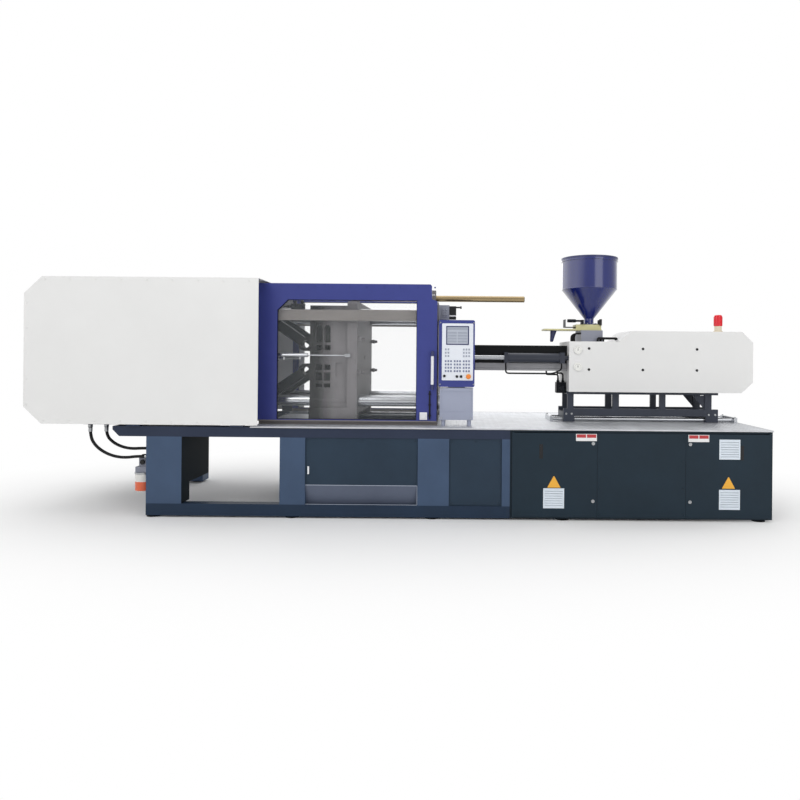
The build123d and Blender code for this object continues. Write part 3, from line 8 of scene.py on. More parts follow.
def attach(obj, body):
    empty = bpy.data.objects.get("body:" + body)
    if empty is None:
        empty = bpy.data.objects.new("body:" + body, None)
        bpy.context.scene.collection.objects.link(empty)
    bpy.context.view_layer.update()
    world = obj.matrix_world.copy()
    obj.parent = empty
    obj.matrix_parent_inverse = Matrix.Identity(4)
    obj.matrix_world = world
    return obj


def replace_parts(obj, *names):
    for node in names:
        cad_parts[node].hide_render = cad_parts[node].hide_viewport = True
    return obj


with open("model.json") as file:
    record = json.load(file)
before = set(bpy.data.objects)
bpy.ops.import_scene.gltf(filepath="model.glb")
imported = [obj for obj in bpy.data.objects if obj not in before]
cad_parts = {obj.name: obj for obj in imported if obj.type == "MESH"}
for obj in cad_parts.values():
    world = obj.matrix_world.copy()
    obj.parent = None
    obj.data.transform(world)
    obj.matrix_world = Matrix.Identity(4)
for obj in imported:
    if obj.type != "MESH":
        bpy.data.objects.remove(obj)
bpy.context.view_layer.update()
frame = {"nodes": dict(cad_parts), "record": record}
nodes = frame["nodes"]
scene = bpy.context.scene
MM = 0.001

# Faces and places of the CAD model that the trim is set on, in millimetres; a side is measured from the middle
COVER_SIDE = 900
COVER_LEFT, COVER_RIGHT = -3398, -1340
PANEL_SIDE = 870
DECK_LEFT, CABINET_END = -1384, 3345
DOOR_FACE, CABINET_REAR = -890, 885
DOOR_SKIN = (DOOR_FACE - 2, DOOR_FACE)
GATE_FACE = 670
CONSOLE_FACE, FASCIA_FACE = -690, -693.5
INJECTION_SIDE = 300
GAUGE_X = 1682
HOPPER_X = 1851
LUBRICATOR = (-2450, -640, 0)


def srgb(red, green, blue):
    """An 8-bit screen colour as the linear colour that Blender works in."""
    linear = []
    for value in (red, green, blue):
        value /= 255
        linear.append(value / 12.92 if value <= 0.04045 else ((value + 0.055) / 1.055) ** 2.4)
    return (*linear, 1.0)


def add_node(tree, kind, values=None, operation=None):
    """Adds a node to a shader tree; values gives its inputs, by name or number, a number or a link."""
    made = tree.nodes.new(kind)
    if operation:
        made.operation = operation
    for socket, value in (values or {}).items():
        if isinstance(value, bpy.types.NodeSocket):
            tree.links.new(value, made.inputs[socket])
        else:
            made.inputs[socket].default_value = value
    return made


def compute(tree, operation, *given):
    """What a math node makes of up to three numbers or links."""
    return add_node(tree, "ShaderNodeMath", dict(enumerate(given)), operation).outputs[0]


def map_range(tree, value, given=(0, 1), wanted=(0, 1)):
    """A node that maps a value from one range onto another, and holds it there."""
    return add_node(tree, "ShaderNodeMapRange", {
        "Value": value, "From Min": given[0], "From Max": given[1], "To Min": wanted[0], "To Max": wanted[1]})


# Materials
def surface(name, colour, rough, metal=0.0, spread=0.10, patch=2.2, stretch=(1, 1, 1), grain=320,
            bump=0.00025, coat=0.0, alpha=1.0, glow=0.0, shine=0.5, fade=None):
    """A finish whose colour, roughness and relief vary over the surface. Fade paints shade on it:
    it darkens the colour along X, from the first place, with the gain given last, to the second place."""
    made = bpy.data.materials.new(name)
    made.use_nodes = True
    tree = made.node_tree
    shader = tree.nodes["Principled BSDF"]
    for socket, value in (("Metallic", metal), ("Specular IOR Level", shine), ("Coat Weight", coat),
                          ("Coat Roughness", 0.12), ("Alpha", alpha)):
        shader.inputs[socket].default_value = value
    base = srgb(*colour)
    if glow:
        shader.inputs["Emission Color"].default_value = base
        shader.inputs["Emission Strength"].default_value = glow
    place = add_node(tree, "ShaderNodeTexCoord").outputs["Object"]
    mapped = add_node(tree, "ShaderNodeMapping", {"Vector": place, "Scale": stretch}).outputs["Vector"]

    def noise(scale, detail):
        return add_node(tree, "ShaderNodeTexNoise", {
            "Vector": mapped, "Scale": scale, "Detail": detail, "Roughness": 0.62}).outputs["Fac"]

    broad = noise(patch, 6)
    ramp = add_node(tree, "ShaderNodeValToRGB", {"Fac": broad})
    for stop, place_on, gain in zip(ramp.color_ramp.elements, (0.3, 0.7), (1 - spread, 1 + spread * 0.5)):
        stop.position = place_on
        stop.color = (*(min(channel * gain, 1) for channel in base[:3]), 1)
    shade = ramp.outputs["Color"]
    # Painted shade: the colour is scaled down along X
    if fade:
        along = add_node(tree, "ShaderNodeSeparateXYZ", {0: place}).outputs["X"]
        gain = map_range(tree, along, fade[:2], (fade[2], 1)).outputs["Result"]
        shade = add_node(tree, "ShaderNodeVectorMath", {0: shade, "Scale": gain}, "SCALE").outputs["Vector"]
    tree.links.new(shade, shader.inputs["Base Color"])
    roughness = map_range(tree, broad, wanted=(max(rough - 0.07, 0.02), min(rough + 0.09, 1)))
    tree.links.new(roughness.outputs["Result"], shader.inputs["Roughness"])
    relief = add_node(tree, "ShaderNodeBump", {"Height": noise(grain, 3), "Strength": 0.35, "Distance": bump})
    tree.links.new(relief.outputs["Normal"], shader.inputs["Normal"])
    return made


FINISH = {
    "base_paint": surface("base_paint", (62, 80, 106), 0.45, coat=0.08, spread=0.14, shine=0.2),
    "panel_paint": surface("panel_paint", (38, 54, 70), 0.48, coat=0.05, spread=0.14, shine=0.2),
    "cabinet_paint": surface("cabinet_paint", (24, 41, 53), 0.42, coat=0.08, spread=0.16, shine=0.2),
    "cover_paint": surface("cover_paint", (224, 224, 223), 0.48, spread=0.03, patch=1.2),
    "gate_paint": surface("gate_paint", (58, 66, 134), 0.38, coat=0.12, spread=0.08, shine=0.25),
    # Painted shade: the castings' colour falls to a tenth towards the clamp cover, from X -0.70 m to X -0.86 m
    "cast_paint": surface("cast_paint", (120, 117, 119), 0.55, spread=0.18, patch=5, grain=160, bump=0.0006,
                          shine=0.2, fade=(-0.86, -0.70, 0.10)),
    "rail_paint": surface("rail_paint", (128, 123, 120), 0.45, spread=0.1, shine=0.3),
    "console_paint": surface("console_paint", (154, 160, 180), 0.42, spread=0.06),
    "fascia_white": surface("fascia_white", (224, 228, 236), 0.4, spread=0.03),
    "handle_white": surface("handle_white", (228, 229, 232), 0.25, coat=0.5, spread=0.04),
    "stand_paint": surface("stand_paint", (54, 59, 72), 0.45, coat=0.1, spread=0.15, shine=0.3),
    "guard_paint": surface("guard_paint", (16, 18, 21), 0.45, coat=0.05, spread=0.18, shine=0.15),
    "slide_yellow": surface("slide_yellow", (205, 200, 150), 0.45, spread=0.1),
    "hopper_blue": surface("hopper_blue", (12, 28, 104), 0.2, coat=1.0, spread=0.08, patch=3),
    "deck_metal": surface("deck_metal", (206, 208, 212), 0.42, 0.75, 0.16, 6, grain=500, bump=0.0002),
    "bright_steel": surface("bright_steel", (190, 192, 196), 0.2, 1.0, 0.1, 14, (0.4, 9, 9), 60, 0.00006),
    "dark_steel": surface("dark_steel", (30, 32, 38), 0.45, 0.3, 0.25, 7, grain=150, bump=0.0005, shine=0.2),
    "safety_brass": surface("safety_brass", (172, 152, 116), 0.28, 1.0, 0.2, 9, (0.4, 7, 7), 60, 0.00005),
    "clear_pane": surface("clear_pane", (236, 243, 246), 0.05, spread=0.02, alpha=0.03, bump=0.00002),
    "screen_glass": surface("screen_glass", (172, 178, 190), 0.12, spread=0.03, coat=0.6, glow=0.12),
    "stop_orange": surface("stop_orange", (236, 128, 44), 0.28, coat=0.5, spread=0.06),
    "gauge_black": surface("gauge_black", (26, 26, 29), 0.35, coat=0.2, spread=0.1, shine=0.25),
    "beacon_red": surface("beacon_red", (218, 26, 42), 0.16, coat=0.6, spread=0.06, glow=0.05, shine=0.3),
    "jar_plastic": surface("jar_plastic", (226, 96, 48), 0.2, coat=0.5, spread=0.12, patch=8),
    "hose_rubber": surface("hose_rubber", (22, 22, 24), 0.55, spread=0.25, patch=30, grain=900, shine=0.25),
    "black_rubber": surface("black_rubber", (20, 20, 22), 0.7, spread=0.25, patch=20, shine=0.2),
}
# Finishes of small pieces that the record has no slot for
EXTRA = {
    "cream": surface("cream_plastic", (226, 214, 190), 0.4, spread=0.05),
    "jar_white": surface("jar_white", (225, 224, 220), 0.3, coat=0.3, spread=0.05),
    "navy": surface("navy_paint", (35, 42, 92), 0.35, coat=0.2, spread=0.05),
    "key": surface("key_grey", (112, 120, 150), 0.4, spread=0.06),
    "vent_white": surface("vent_white", (214, 223, 232), 0.42, spread=0.06),
    "plate_white": surface("plate_white", (226, 226, 226), 0.45, spread=0.03),
    "plate_red": surface("plate_red", (178, 48, 52), 0.42, spread=0.05),
    "plate_yellow": surface("plate_yellow", (232, 170, 52), 0.42, spread=0.05),
    "screw_zinc": surface("screw_zinc", (176, 178, 180), 0.3, 1.0, 0.12, 60, grain=600),
    "dial": surface("dial_white", (232, 232, 228), 0.35, spread=0.02),
    "lens_grey": surface("lens_grey", (156, 162, 176), 0.3, spread=0.05),
    "casting_grey": surface("casting_grey", (138, 141, 154), 0.45, spread=0.08, patch=6),
    "cylinder_navy": surface("cylinder_navy", (46, 50, 62), 0.3, coat=0.3, spread=0.1, shine=0.3),
    "guard_grey": surface("guard_grey", (160, 160, 164), 0.42, spread=0.12),
    "rail_navy": surface("rail_navy", (30, 47, 68), 0.45, coat=0.08, spread=0.14, shine=0.2),
    "beam_navy": surface("beam_navy", (41, 50, 70), 0.45, coat=0.08, spread=0.14, shine=0.2),
    "leg_shade": surface("leg_shade", (13, 25, 33), 0.6, spread=0.3, shine=0.1),
    "tray_grey": surface("tray_grey", (92, 100, 118), 0.45, spread=0.1, shine=0.3),
    # Painted highlight: base paint made light for the folded edges of the collecting tray
    "painted_edge_highlight": surface("painted_edge_highlight", (158, 166, 182), 0.4, spread=0.08),
}


def dress(node, main, *others):
    """Gives a CAD node its finish, and other finishes to the faces whose centre passes a test."""
    mesh = nodes[node].data
    mesh.materials.clear()
    mesh.materials.append(main)
    tests = []
    for index, (finish, test) in enumerate(others, 1):
        mesh.materials.append(finish)
        tests.append((index, test))
    for face in mesh.polygons:
        face.material_index = 0
        for index, test in tests:
            if test(face.center, face.normal):
                face.material_index = index
    mesh.shade_smooth()
    mesh.set_sharp_from_angle(angle=radians(28))


for part in frame["record"]["subparts"]:
    dress(part["node"], FINISH[part["material_slot"]])
# Foot of the beacon, jar of the lubricator
dress("beacon", FINISH["beacon_red"], (EXTRA["cream"], lambda c, n: c.z < 1.807))
dress("lubricator", EXTRA["casting_grey"], (EXTRA["jar_white"], lambda c, n: c.z < 0.362))
# Rails on the feet, beams under the deck, inner face of the left leg, hose plate, hose fittings
dress("base_frame", FINISH["base_paint"],
      (EXTRA["rail_navy"], lambda c, n: c.z < 0.1245),
      (EXTRA["beam_navy"], lambda c, n: c.z > 0.7285),
      (EXTRA["leg_shade"], lambda c, n: n.x > 0.9 and -2.01 < c.x < -1.99 and c.z < 0.729),
      (FINISH["dark_steel"], lambda c, n: c.x < -2.64 and c.z < 0.8195),
      (EXTRA["screw_zinc"], lambda c, n: -2.37 < c.x < -2.3225 and c.y < -0.66 and 0.49 < c.z < 0.63))
# Pull of the tray door and the collecting tray
dress("base_panels", FINISH["panel_paint"],
      (FINISH["handle_white"], lambda c, n: -0.8635 < c.x < -0.8485 and 0.399 < c.z < 0.471 and c.y < -0.8695),
      (EXTRA["tray_grey"], lambda c, n: c.z < 0.2995 and c.x < 0.14))
for lock in ("left_top", "left_bottom", "right_top", "right_bottom"):
    dress(f"door_lock_{lock}", EXTRA["screw_zinc"])
dress("barrel_guard", FINISH["guard_paint"], (FINISH["rail_paint"], lambda c, n: c.z < 1.345))
dress("feed_block", EXTRA["casting_grey"])
dress("seat_cylinder", EXTRA["cylinder_navy"])
dress("hopper_shutter", FINISH["dark_steel"])
dress("pressure_gauges", EXTRA["dial"])
dress("hopper_lid", EXTRA["navy"])


def outward(side, inner, outer):
    """The span in Y between two distances from the middle, on the side given as -1 or 1."""
    return sorted((side * inner, side * outer))


class Shape:
    """Collects the faces of a piece; every size and place is in millimetres."""

    def __init__(self):
        self.points = []
        self.faces = []

    def loops(self, rings):
        """Joins rings of as many points each, and closes the first and the last one."""
        start = len(self.points)
        count = len(rings[0])
        for ring in rings:
            self.points.extend(tuple(value * MM for value in point) for point in ring)
        for level in range(len(rings) - 1):
            for step in range(count):
                one = start + level * count + step
                two = start + level * count + (step + 1) % count
                self.faces.append((one, two, two + count, one + count))
        self.faces.append(tuple(start + step for step in reversed(range(count))))
        last = start + (len(rings) - 1) * count
        self.faces.append(tuple(last + step for step in range(count)))

    def box(self, x, y, z, ease=0.0):
        """A box; ease is the width of the chamfer round both of its broad faces."""
        span = [x, y, z]
        sizes = [high - low for low, high in span]
        thin = sizes.index(min(sizes))
        others = [axis for axis in range(3) if axis != thin]
        ease = min(ease, min(sizes) * 0.4)

        def ring(inset, height):
            (a0, a1), (b0, b1) = span[others[0]], span[others[1]]
            corners = ((a0 + inset, b0 + inset), (a1 - inset, b0 + inset),
                       (a1 - inset, b1 - inset), (a0 + inset, b1 - inset))
            made = []
            for first, second in corners:
                point = [0, 0, 0]
                point[thin], point[others[0]], point[others[1]] = height, first, second
                made.append(tuple(point))
            return made

        low, high = span[thin]
        if ease:
            self.loops([ring(ease, low), ring(0, low + ease), ring(0, high - ease), ring(ease, high)])
        else:
            self.loops([ring(0, low), ring(0, high)])

    def bar(self, section, x0, x1):
        """A bar along X with a section given as (Y, Z)."""
        self.loops([[(x, y, z) for y, z in section] for x in (x0, x1)])

    def flat_frame(self, outer, inner, front, back):
        """A flat frame between two outlines of as many corners, given as (X, Z)."""
        start = len(self.points)
        count = len(outer)
        for outline, level in ((outer, front), (outer, back), (inner, back), (inner, front)):
            self.points.extend((x * MM, level * MM, z * MM) for x, z in outline)
        for level in range(4):
            after = (level + 1) % 4
            for step in range(count):
                following = (step + 1) % count
                self.faces.append((start + level * count + step, start + level * count + following,
                                   start + after * count + following, start + after * count + step))

    def turned(self, axis, centre, profile, sides=24):
        """A turned form: profile lists (place along the axis, radius) from one end to the other."""
        first, second = (number for number in range(3) if number != axis)
        rings = []
        for along, radius in profile:
            ring = []
            for step in range(sides):
                angle = 2 * pi * step / sides
                point = list(centre)
                point[axis] = along
                point[first] += radius * cos(angle)
                point[second] += radius * sin(angle)
                ring.append(tuple(point))
            rings.append(ring)
        self.loops(rings)

    def screw(self, axis, centre, side, radius=7, height=4):
        """A socket head on a washer; side is 1 or -1 along the axis, away from the sheet."""
        low = centre[axis]
        profile = [(low, radius * 1.35), (low + side, radius * 1.35), (low + side, radius),
                   (low + side * (height - 1), radius), (low + side * height, radius * 0.85),
                   (low + side * height, radius * 0.5), (low + side * (height - 2), radius * 0.48)]
        self.turned(axis, centre, profile, 12)

    def piece(self, name, finish, body, slot, round_off=0.0):
        """Makes the piece, which rides on a body; round_off is the width of its edge bevels."""
        mesh = bpy.data.meshes.new(name)
        mesh.from_pydata(self.points, [], self.faces)
        mesh.validate()
        made = bpy.data.objects.new(name, mesh)
        scene.collection.objects.link(made)
        bpy.context.view_layer.objects.active = made
        made.select_set(True)
        bpy.ops.object.mode_set(mode="EDIT")
        bpy.ops.mesh.select_all(action="SELECT")
        bpy.ops.mesh.normals_make_consistent(inside=False)
        bpy.ops.object.mode_set(mode="OBJECT")
        made.select_set(False)
        if round_off:
            rounding = made.modifiers.new("rounding", "BEVEL")
            rounding.width = round_off * MM
            rounding.segments = 2
            rounding.limit_method = "ANGLE"
        mesh.shade_smooth()
        mesh.set_sharp_from_angle(angle=radians(32))
        mesh.materials.append(finish)
        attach(made, body)


# Camera at the photograph's place: level, opposite the operator's panel, turned half a degree
lens = bpy.data.cameras.new("photo_camera")
camera = bpy.data.objects.new("photo_camera", lens)
scene.collection.objects.link(camera)
lens.sensor_width = 36
lens.lens = 28.98
lens.shift_x = -0.06875
lens.shift_y = -0.05375
lens.clip_end = 100
camera.matrix_world = (Matrix.Translation((0.462, -6.7, 1.470))
                       @ Matrix.Rotation(radians(90), 4, "X") @ Matrix.Rotation(radians(0.5), 4, "Z"))
scene.camera = camera
scene.view_settings.view_transform = "Standard"


# Hoses between the clamp unit and the base
def hose(name, points, y):
    """A stiff hose along points given as (X, Z)."""
    curve = bpy.data.curves.new(name, "CURVE")
    curve.dimensions = "3D"
    curve.bevel_depth = 0.0135
    curve.bevel_resolution = 6
    curve.resolution_u = 24
    curve.use_fill_caps = True
    line = curve.splines.new("NURBS")
    line.points.add(len(points) - 1)
    for spot, (x, z) in zip(line.points, points):
        spot.co = (x * MM, y * MM, z * MM, 1)
    line.order_u = 3
    line.use_endpoint_u = True
    made = bpy.data.objects.new(name, curve)
    scene.collection.objects.link(made)
    curve.materials.append(FINISH["hose_rubber"])
    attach(made, "machine")
    return made


OUTER_Y, INNER_Y = -722, -688
OUTER_HOSE = ((-2916, 790), (-2916, 700), (-2868, 618), (-2785, 556), (-2690, 520),
              (-2588, 509), (-2478, 524), (-2365, 524))
INNER_HOSE = ((-2785, 790), (-2785, 712), (-2722, 645), (-2640, 605), (-2550, 588),
              (-2455, 594), (-2365, 594))
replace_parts(hose("outer_hose", OUTER_HOSE, OUTER_Y), "clamp_hose_outer")
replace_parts(hose("inner_hose", INNER_HOSE, INNER_Y), "clamp_hose_inner")

# Hose ferrules and hexagon nuts at both ends
fittings = Shape()
for (x, z), y in ((OUTER_HOSE[0], OUTER_Y), (INNER_HOSE[0], INNER_Y)):
    fittings.turned(2, (x, y, 0), [(z - 42, 16), (z - 40, 18), (z - 4, 18), (z, 17)], 20)
    fittings.turned(2, (x, y, 0), [(z + 4, 23), (z + 24, 23)], 6)
for (x, z), y in ((OUTER_HOSE[-1], OUTER_Y), (INNER_HOSE[-1], INNER_Y)):
    fittings.turned(0, (0, y, z), [(x - 42, 16), (x - 40, 18), (x - 4, 18), (x, 17)], 20)
    fittings.turned(0, (0, y, z), [(x + 4, 23), (x + 24, 23)], 6)
fittings.piece("hose_ferrules", EXTRA["screw_zinc"], "machine", "bright_steel", 0.8)

# Clamp unit: screws along the sheet edges of the cover
cover = Shape()
for side in (-1, 1):
    for x in range(-3240, -1340, 230):
        cover.screw(1, (x, side * COVER_SIDE, 2140), side)
        cover.screw(1, (x, side * COVER_SIDE, 866), side)
    for z in (1010, 1240, 1470, 1700, 1930):
        cover.screw(1, (COVER_RIGHT, side * COVER_SIDE, z), side)
        cover.screw(1, (COVER_LEFT, side * COVER_SIDE, z), side)
cover.piece("cover_screws", FINISH["cover_paint"], "machine", "cover_paint")

# Deck: raised lozenges of the chequer plate, and the bright edge angle
PITCH = 31
LOZENGE_LONG, LOZENGE_WIDE, LOZENGE_TAPER = 11, 3.2, 0.55
LOZENGE_FOOT, LOZENGE_TOP = 825.8, 827.5
tread = Shape()
for row in range(-28, 29):
    y = row * PITCH
    for column in range(152):
        x = -1362 + column * PITCH + (PITCH / 2 if row % 2 else 0)
        drop_hole = -890 < x < 110 and abs(y) < 420
        ways = x < 110 and 428 < abs(y) < 552
        border = abs(y) > 868 or x > 3330
        if drop_hole or ways or border:
            continue
        turn = pi / 4 if (row + column) % 2 else -pi / 4
        along = (LOZENGE_LONG * cos(turn), LOZENGE_LONG * sin(turn))
        across = (-LOZENGE_WIDE * sin(turn), LOZENGE_WIDE * cos(turn))
        arms = (along, across, (-along[0], -along[1]), (-across[0], -across[1]))
        start = len(tread.points)
        for taper, z in ((1, LOZENGE_FOOT), (LOZENGE_TAPER, LOZENGE_TOP)):
            tread.points.extend(((x + dx * taper) * MM, (y + dy * taper) * MM, z * MM) for dx, dy in arms)
        tread.faces.append(tuple(start + 4 + step for step in range(4)))
        for step in range(4):
            after = (step + 1) % 4
            tread.faces.append((start + step, start + after, start + 4 + after, start + 4 + step))
tread.piece("deck_tread", FINISH["deck_metal"], "machine", "deck_metal")

trim = Shape()
for side in (-1, 1):
    trim.box((DECK_LEFT, CABINET_END), outward(side, 886, 890.5), (815, 828), 1.5)
trim.box((CABINET_END, CABINET_END + 4), (-886, 886), (815, 828), 1.5)
trim.piece("deck_edge_trim", FINISH["deck_metal"], "machine", "deck_metal")

# Base: panel screws, folded edges of the panels, folded edges of the collecting tray with a painted highlight,
# nuts of the feet
base = Shape()
for side in (-1, 1):
    y = side * PANEL_SIDE
    for x0, x1, z0, z1 in ((-885, 133, 300, 729), (417, 894, 124, 729)):
        for x in (x0 + 26, (x0 + x1) / 2, x1 - 26):
            for z in (z0 + 24, z1 - 24):
                base.screw(1, (x, y, z), side, 8, 4)
base.piece("base_panel_screws", FINISH["panel_paint"], "machine", "panel_paint")
lip = Shape()
edge = Shape()
for side in (-1, 1):
    fold = outward(side, PANEL_SIDE - 1, PANEL_SIDE + 5)
    for x, z in (((-882, 130), (297, 303)), ((-882, 130), (124, 129)), ((126, 131), (129, 297))):
        edge.box(x, fold, z, 1.5)
    for x, z in (((-882, -874), (306, 727)), ((122, 130), (306, 727)), ((420, 428), (127, 727)),
                 ((883, 891), (127, 727)), ((428, 883), (127, 134))):
        lip.box(x, fold, z, 1.5)
lip.piece("base_panel_edges", FINISH["panel_paint"], "machine", "panel_paint")
# The tray's folded edges carry a painted highlight
edge.piece("collecting_tray_edges", EXTRA["painted_edge_highlight"], "machine", "base_paint")
feet = Shape()
for y, first in ((-820, -2275), (820, -2525)):
    for x in (first, -1010, 262, 1452, 3240):
        feet.turned(2, (x, y, 0), [(7, 30), (9, 34), (15, 34), (16.8, 30)], 6)
feet.piece("feet_nuts", EXTRA["screw_zinc"], "machine", "bright_steel")

# Cabinet: blank plates, vents, flush pulls, screws, rear panels and their louvres
for x0, body in ((1560, "left_door"), (2574, "right_door")):
    plate = Shape()
    plate.box((x0, x0 + 188), DOOR_SKIN, (722, 786), 0.8)
    plate.piece(f"plate_white_{body}", EXTRA["plate_white"], body, "cover_paint")
for x0, x1, z0, z1, body in ((1304, 1424, 300, 402, "left_door"), (2880, 2998, 304, 406, "right_door")):
    plate = Shape()
    middle = (x0 + x1) / 2
    plate.loops([[(x0, y, z0), (x1, y, z0), (middle + 4, y, z1), (middle - 4, y, z1)]
                 for y in reversed(DOOR_SKIN)])
    plate.piece(f"plate_yellow_{body}", EXTRA["plate_yellow"], body, "slide_yellow")
for x0, body in ((1566, "left_door"), (2580, "right_door")):
    band = Shape()
    for shift in (0, 92):
        band.box((x0 + shift, x0 + shift + 84), (-892.6, -891.6), (752, 782), 0.4)
    band.piece(f"plate_band_{body}", EXTRA["plate_red"], body, "beacon_red")
vent_slots = ((1272, 117, "left_door", "vent_left"), (2858, 570, "right_door", "vent_right_high"),
              (2858, 117, "right_door", "vent_right_low"))
for x0, z0, body, name in vent_slots:
    vent = Shape()
    x1, z1 = x0 + 181, z0 + 172
    for x in ((x0 - 4, x0 + 9), (x1 - 9, x1 + 4)):
        vent.box(x, (-893, -889.6), (z0 - 4, z1 + 4), 1)
    for z in ((z0 - 4, z0 + 6), (z1 - 6, z1 + 4)):
        vent.box((x0 + 9, x1 - 9), (-893, -889.6), z, 1)
    for step in range(8):
        low = z0 + 21.5 * step + 3
        section = ((-891.5, low - 1), (-891.5, low + 12), (-880, low + 24), (-880, low + 17))
        vent.bar(section, x0 + 1, x1 - 1)
    vent.piece(name, EXTRA["vent_white"], body, "cover_paint")
for x, body in ((1247, "left_door"), (3060, "right_door")):
    pull = Shape()
    pull.box((x - 16, x + 16), (-892, -889.8), (560, 690), 1)
    pull.box((x - 9, x + 9), (-893.5, -891.9), (572, 678), 0.6)
    pull.piece(f"pull_{body}", FINISH["gauge_black"], body, "gauge_black")
cabinet = Shape()
for x in (1775, 2532):
    for z in (60, 300, 540, 766):
        cabinet.screw(1, (x, DOOR_FACE, z), -1, 7, 4)
for x in (1000, 1600, 2156, 2712, 3312):
    for z in (60, 420, 790):
        cabinet.screw(1, (x, CABINET_REAR, z), 1, 8, 4)
for y in (-820, -280, 280, 840):
    for z in (60, 420, 790):
        cabinet.screw(0, (CABINET_END, y, z), 1, 8, 4)
cabinet.piece("cabinet_screws", FINISH["cabinet_paint"], "machine", "cabinet_paint")
rear = Shape()
for x0, x1 in ((982, 1575), (1590, 2145), (2160, 2705), (2720, 3330)):
    rear.box((x0, x1), (CABINET_REAR, CABINET_REAR + 4), (40, 800), 1.5)
rear.box((CABINET_END, CABINET_END + 4), (-800, 800), (40, 800), 1.5)
rear.piece("cabinet_rear_panels", FINISH["cabinet_paint"], "machine", "cabinet_paint", 1.2)
rear_vents = Shape()
for x0 in (1180, 1765, 2335, 2925):
    for step in range(9):
        low = 560 + 20 * step
        section = ((888, low + 4), (892.5, low + 1), (894, low - 4), (892.5, low - 7), (888, low - 6))
        rear_vents.bar(section, x0, x0 + 220)
rear_vents.piece("cabinet_rear_louvres", FINISH["cabinet_paint"], "machine", "cabinet_paint")

# Gates: rubber seals round the panes, sill channels, screws, switch box, wiring duct and handle caps
def pane_outline(pane, gap):
    """The pane's outline, a gap inside its edge; its upper left corner is cut off."""
    x0, x1, z0, z1, corner = pane
    return ((x0 + gap, z0 + gap), (x1 - gap, z0 + gap), (x1 - gap, z1 - gap),
            (x0 + corner + gap * 0.4, z1 - gap), (x0 + gap, z1 - corner - gap * 0.4))


for label, side, right, pane in (("front", -1, 130, (-1206, 103, 875, 1996, 100)),
                                 ("rear", 1, 272, (-1320, 150, 875, 2080, 40))):
    body = f"{label}_gate"
    seal = Shape()
    for y in ((643, 647.5), (652.5, 657)):
        seal.flat_frame(pane_outline(pane, -2), pane_outline(pane, 5), *outward(side, *y))
    seal.piece(f"{label}_gate_seal", FINISH["black_rubber"], body, "black_rubber", 0.8)
    sill = Shape()
    sill.box((-1382, 291), outward(side, GATE_FACE - 0.5, GATE_FACE + 3), (857.5, 868), 1)
    sill.piece(f"{label}_gate_sill", FINISH["rail_paint"], body, "rail_paint")
    bolts = Shape()
    for x in range(-1330, 280, 160):
        bolts.screw(1, (x, side * GATE_FACE, 2118), side, 6, 4)
    for z in range(930, 2080, 190):
        bolts.screw(1, (-1358, side * GATE_FACE, z), side, 6, 4)
        if z < 1990:
            bolts.screw(1, (right, side * GATE_FACE, z), side, 6, 4)
    bolts.piece(f"{label}_gate_screws", FINISH["gate_paint"], body, "gate_paint")
switch = Shape()
switch.box((136, 206), (-690, -669.5), (880, 950), 3)
switch.box((150, 192), (-694, -690), (894, 936), 1.5)
switch.piece("gate_switch", FINISH["handle_white"], "front_gate", "handle_white", 1.5)
duct = Shape()
duct.turned(2, (229, -677, 0), [(884, 6), (886, 7), (1150, 7), (1152, 6)], 16)
for z in (915, 1015, 1115):
    duct.box((216, 242), (-686, -669.5), (z, z + 12), 2)
duct.piece("gate_duct", FINISH["hose_rubber"], "front_gate", "hose_rubber")
caps = Shape()
for z0, z1 in ((1163, 1212), (1474, 1522)):
    caps.turned(2, (252, -715, 0), [(z0, 13), (z0 + 2, 15.5), (z1 - 2, 15.5), (z1, 14.2)], 24)
    caps.turned(1, (252, 0, (z0 + z1) / 2), [(-708, 13), (-674, 13), (-672, 17), (-669.6, 17)], 20)
caps.piece("handle_caps", EXTRA["navy"], "front_gate", "gate_paint")

# Hydraulic safety valve with its roller on the inner side of the front rail
valve = Shape()
valve.box((-1110, -980), (-549.5, -508), (1914, 1968), 4)
valve.box((-1085, -1060), (-546, -512), (1968, 1996), 3)
valve.turned(1, (-1004, 0, 1985), [(-540, 14), (-538, 16), (-524, 16), (-522, 14)], 20)
valve.box((-1012, -996), (-536, -528), (1960, 1992), 2)
valve.turned(0, (0, -530, 1940), [(-1180, 9), (-1150, 9), (-1149, 14), (-1110, 14)], 6)
valve.piece("safety_valve", FINISH["dark_steel"], "machine", "dark_steel", 1)

# Lubrication distributor on the back of the fixed platen, beside the operator's panel
spreader = Shape()
spreader.box((298, 405), (-538, -500), (1826, 1966), 3)
spreader.box((330, 392), (-543, -537), (1850, 1940), 2)
for x in (350, 374):
    for z in (1870, 1895, 1920):
        spreader.turned(1, (x, 0, z), [(-552, 5), (-551, 7), (-545, 7), (-542, 8)], 6)
spreader.piece("distributor_bracket", EXTRA["casting_grey"], "machine", "console_paint", 1.5)
motor = Shape()
motor.box((404, 470), (-540, -495), (1828, 1858), 3)
motor.box((404, 470), (-540, -495), (1868, 1956), 3)
motor.turned(0, (0, -518, 1945), [(468, 8), (508, 8), (509, 13), (522, 13)], 12)
motor.piece("distributor_motor", FINISH["gauge_black"], "machine", "gauge_black", 1.5)
strip = Shape()
strip.box((404, 468), (-538, -497), (1857, 1869), 1)
strip.piece("distributor_strip", EXTRA["plate_white"], "machine", "fascia_white")

# Operator's panel: screen border and fields, blank keys, buttons, screws and the louvres at the back
def rectangle(x0, x1, z0, z1):
    """The four corners of an upright rectangle, as (X, Z)."""
    return (x0, z0), (x1, z0), (x1, z1), (x0, z1)


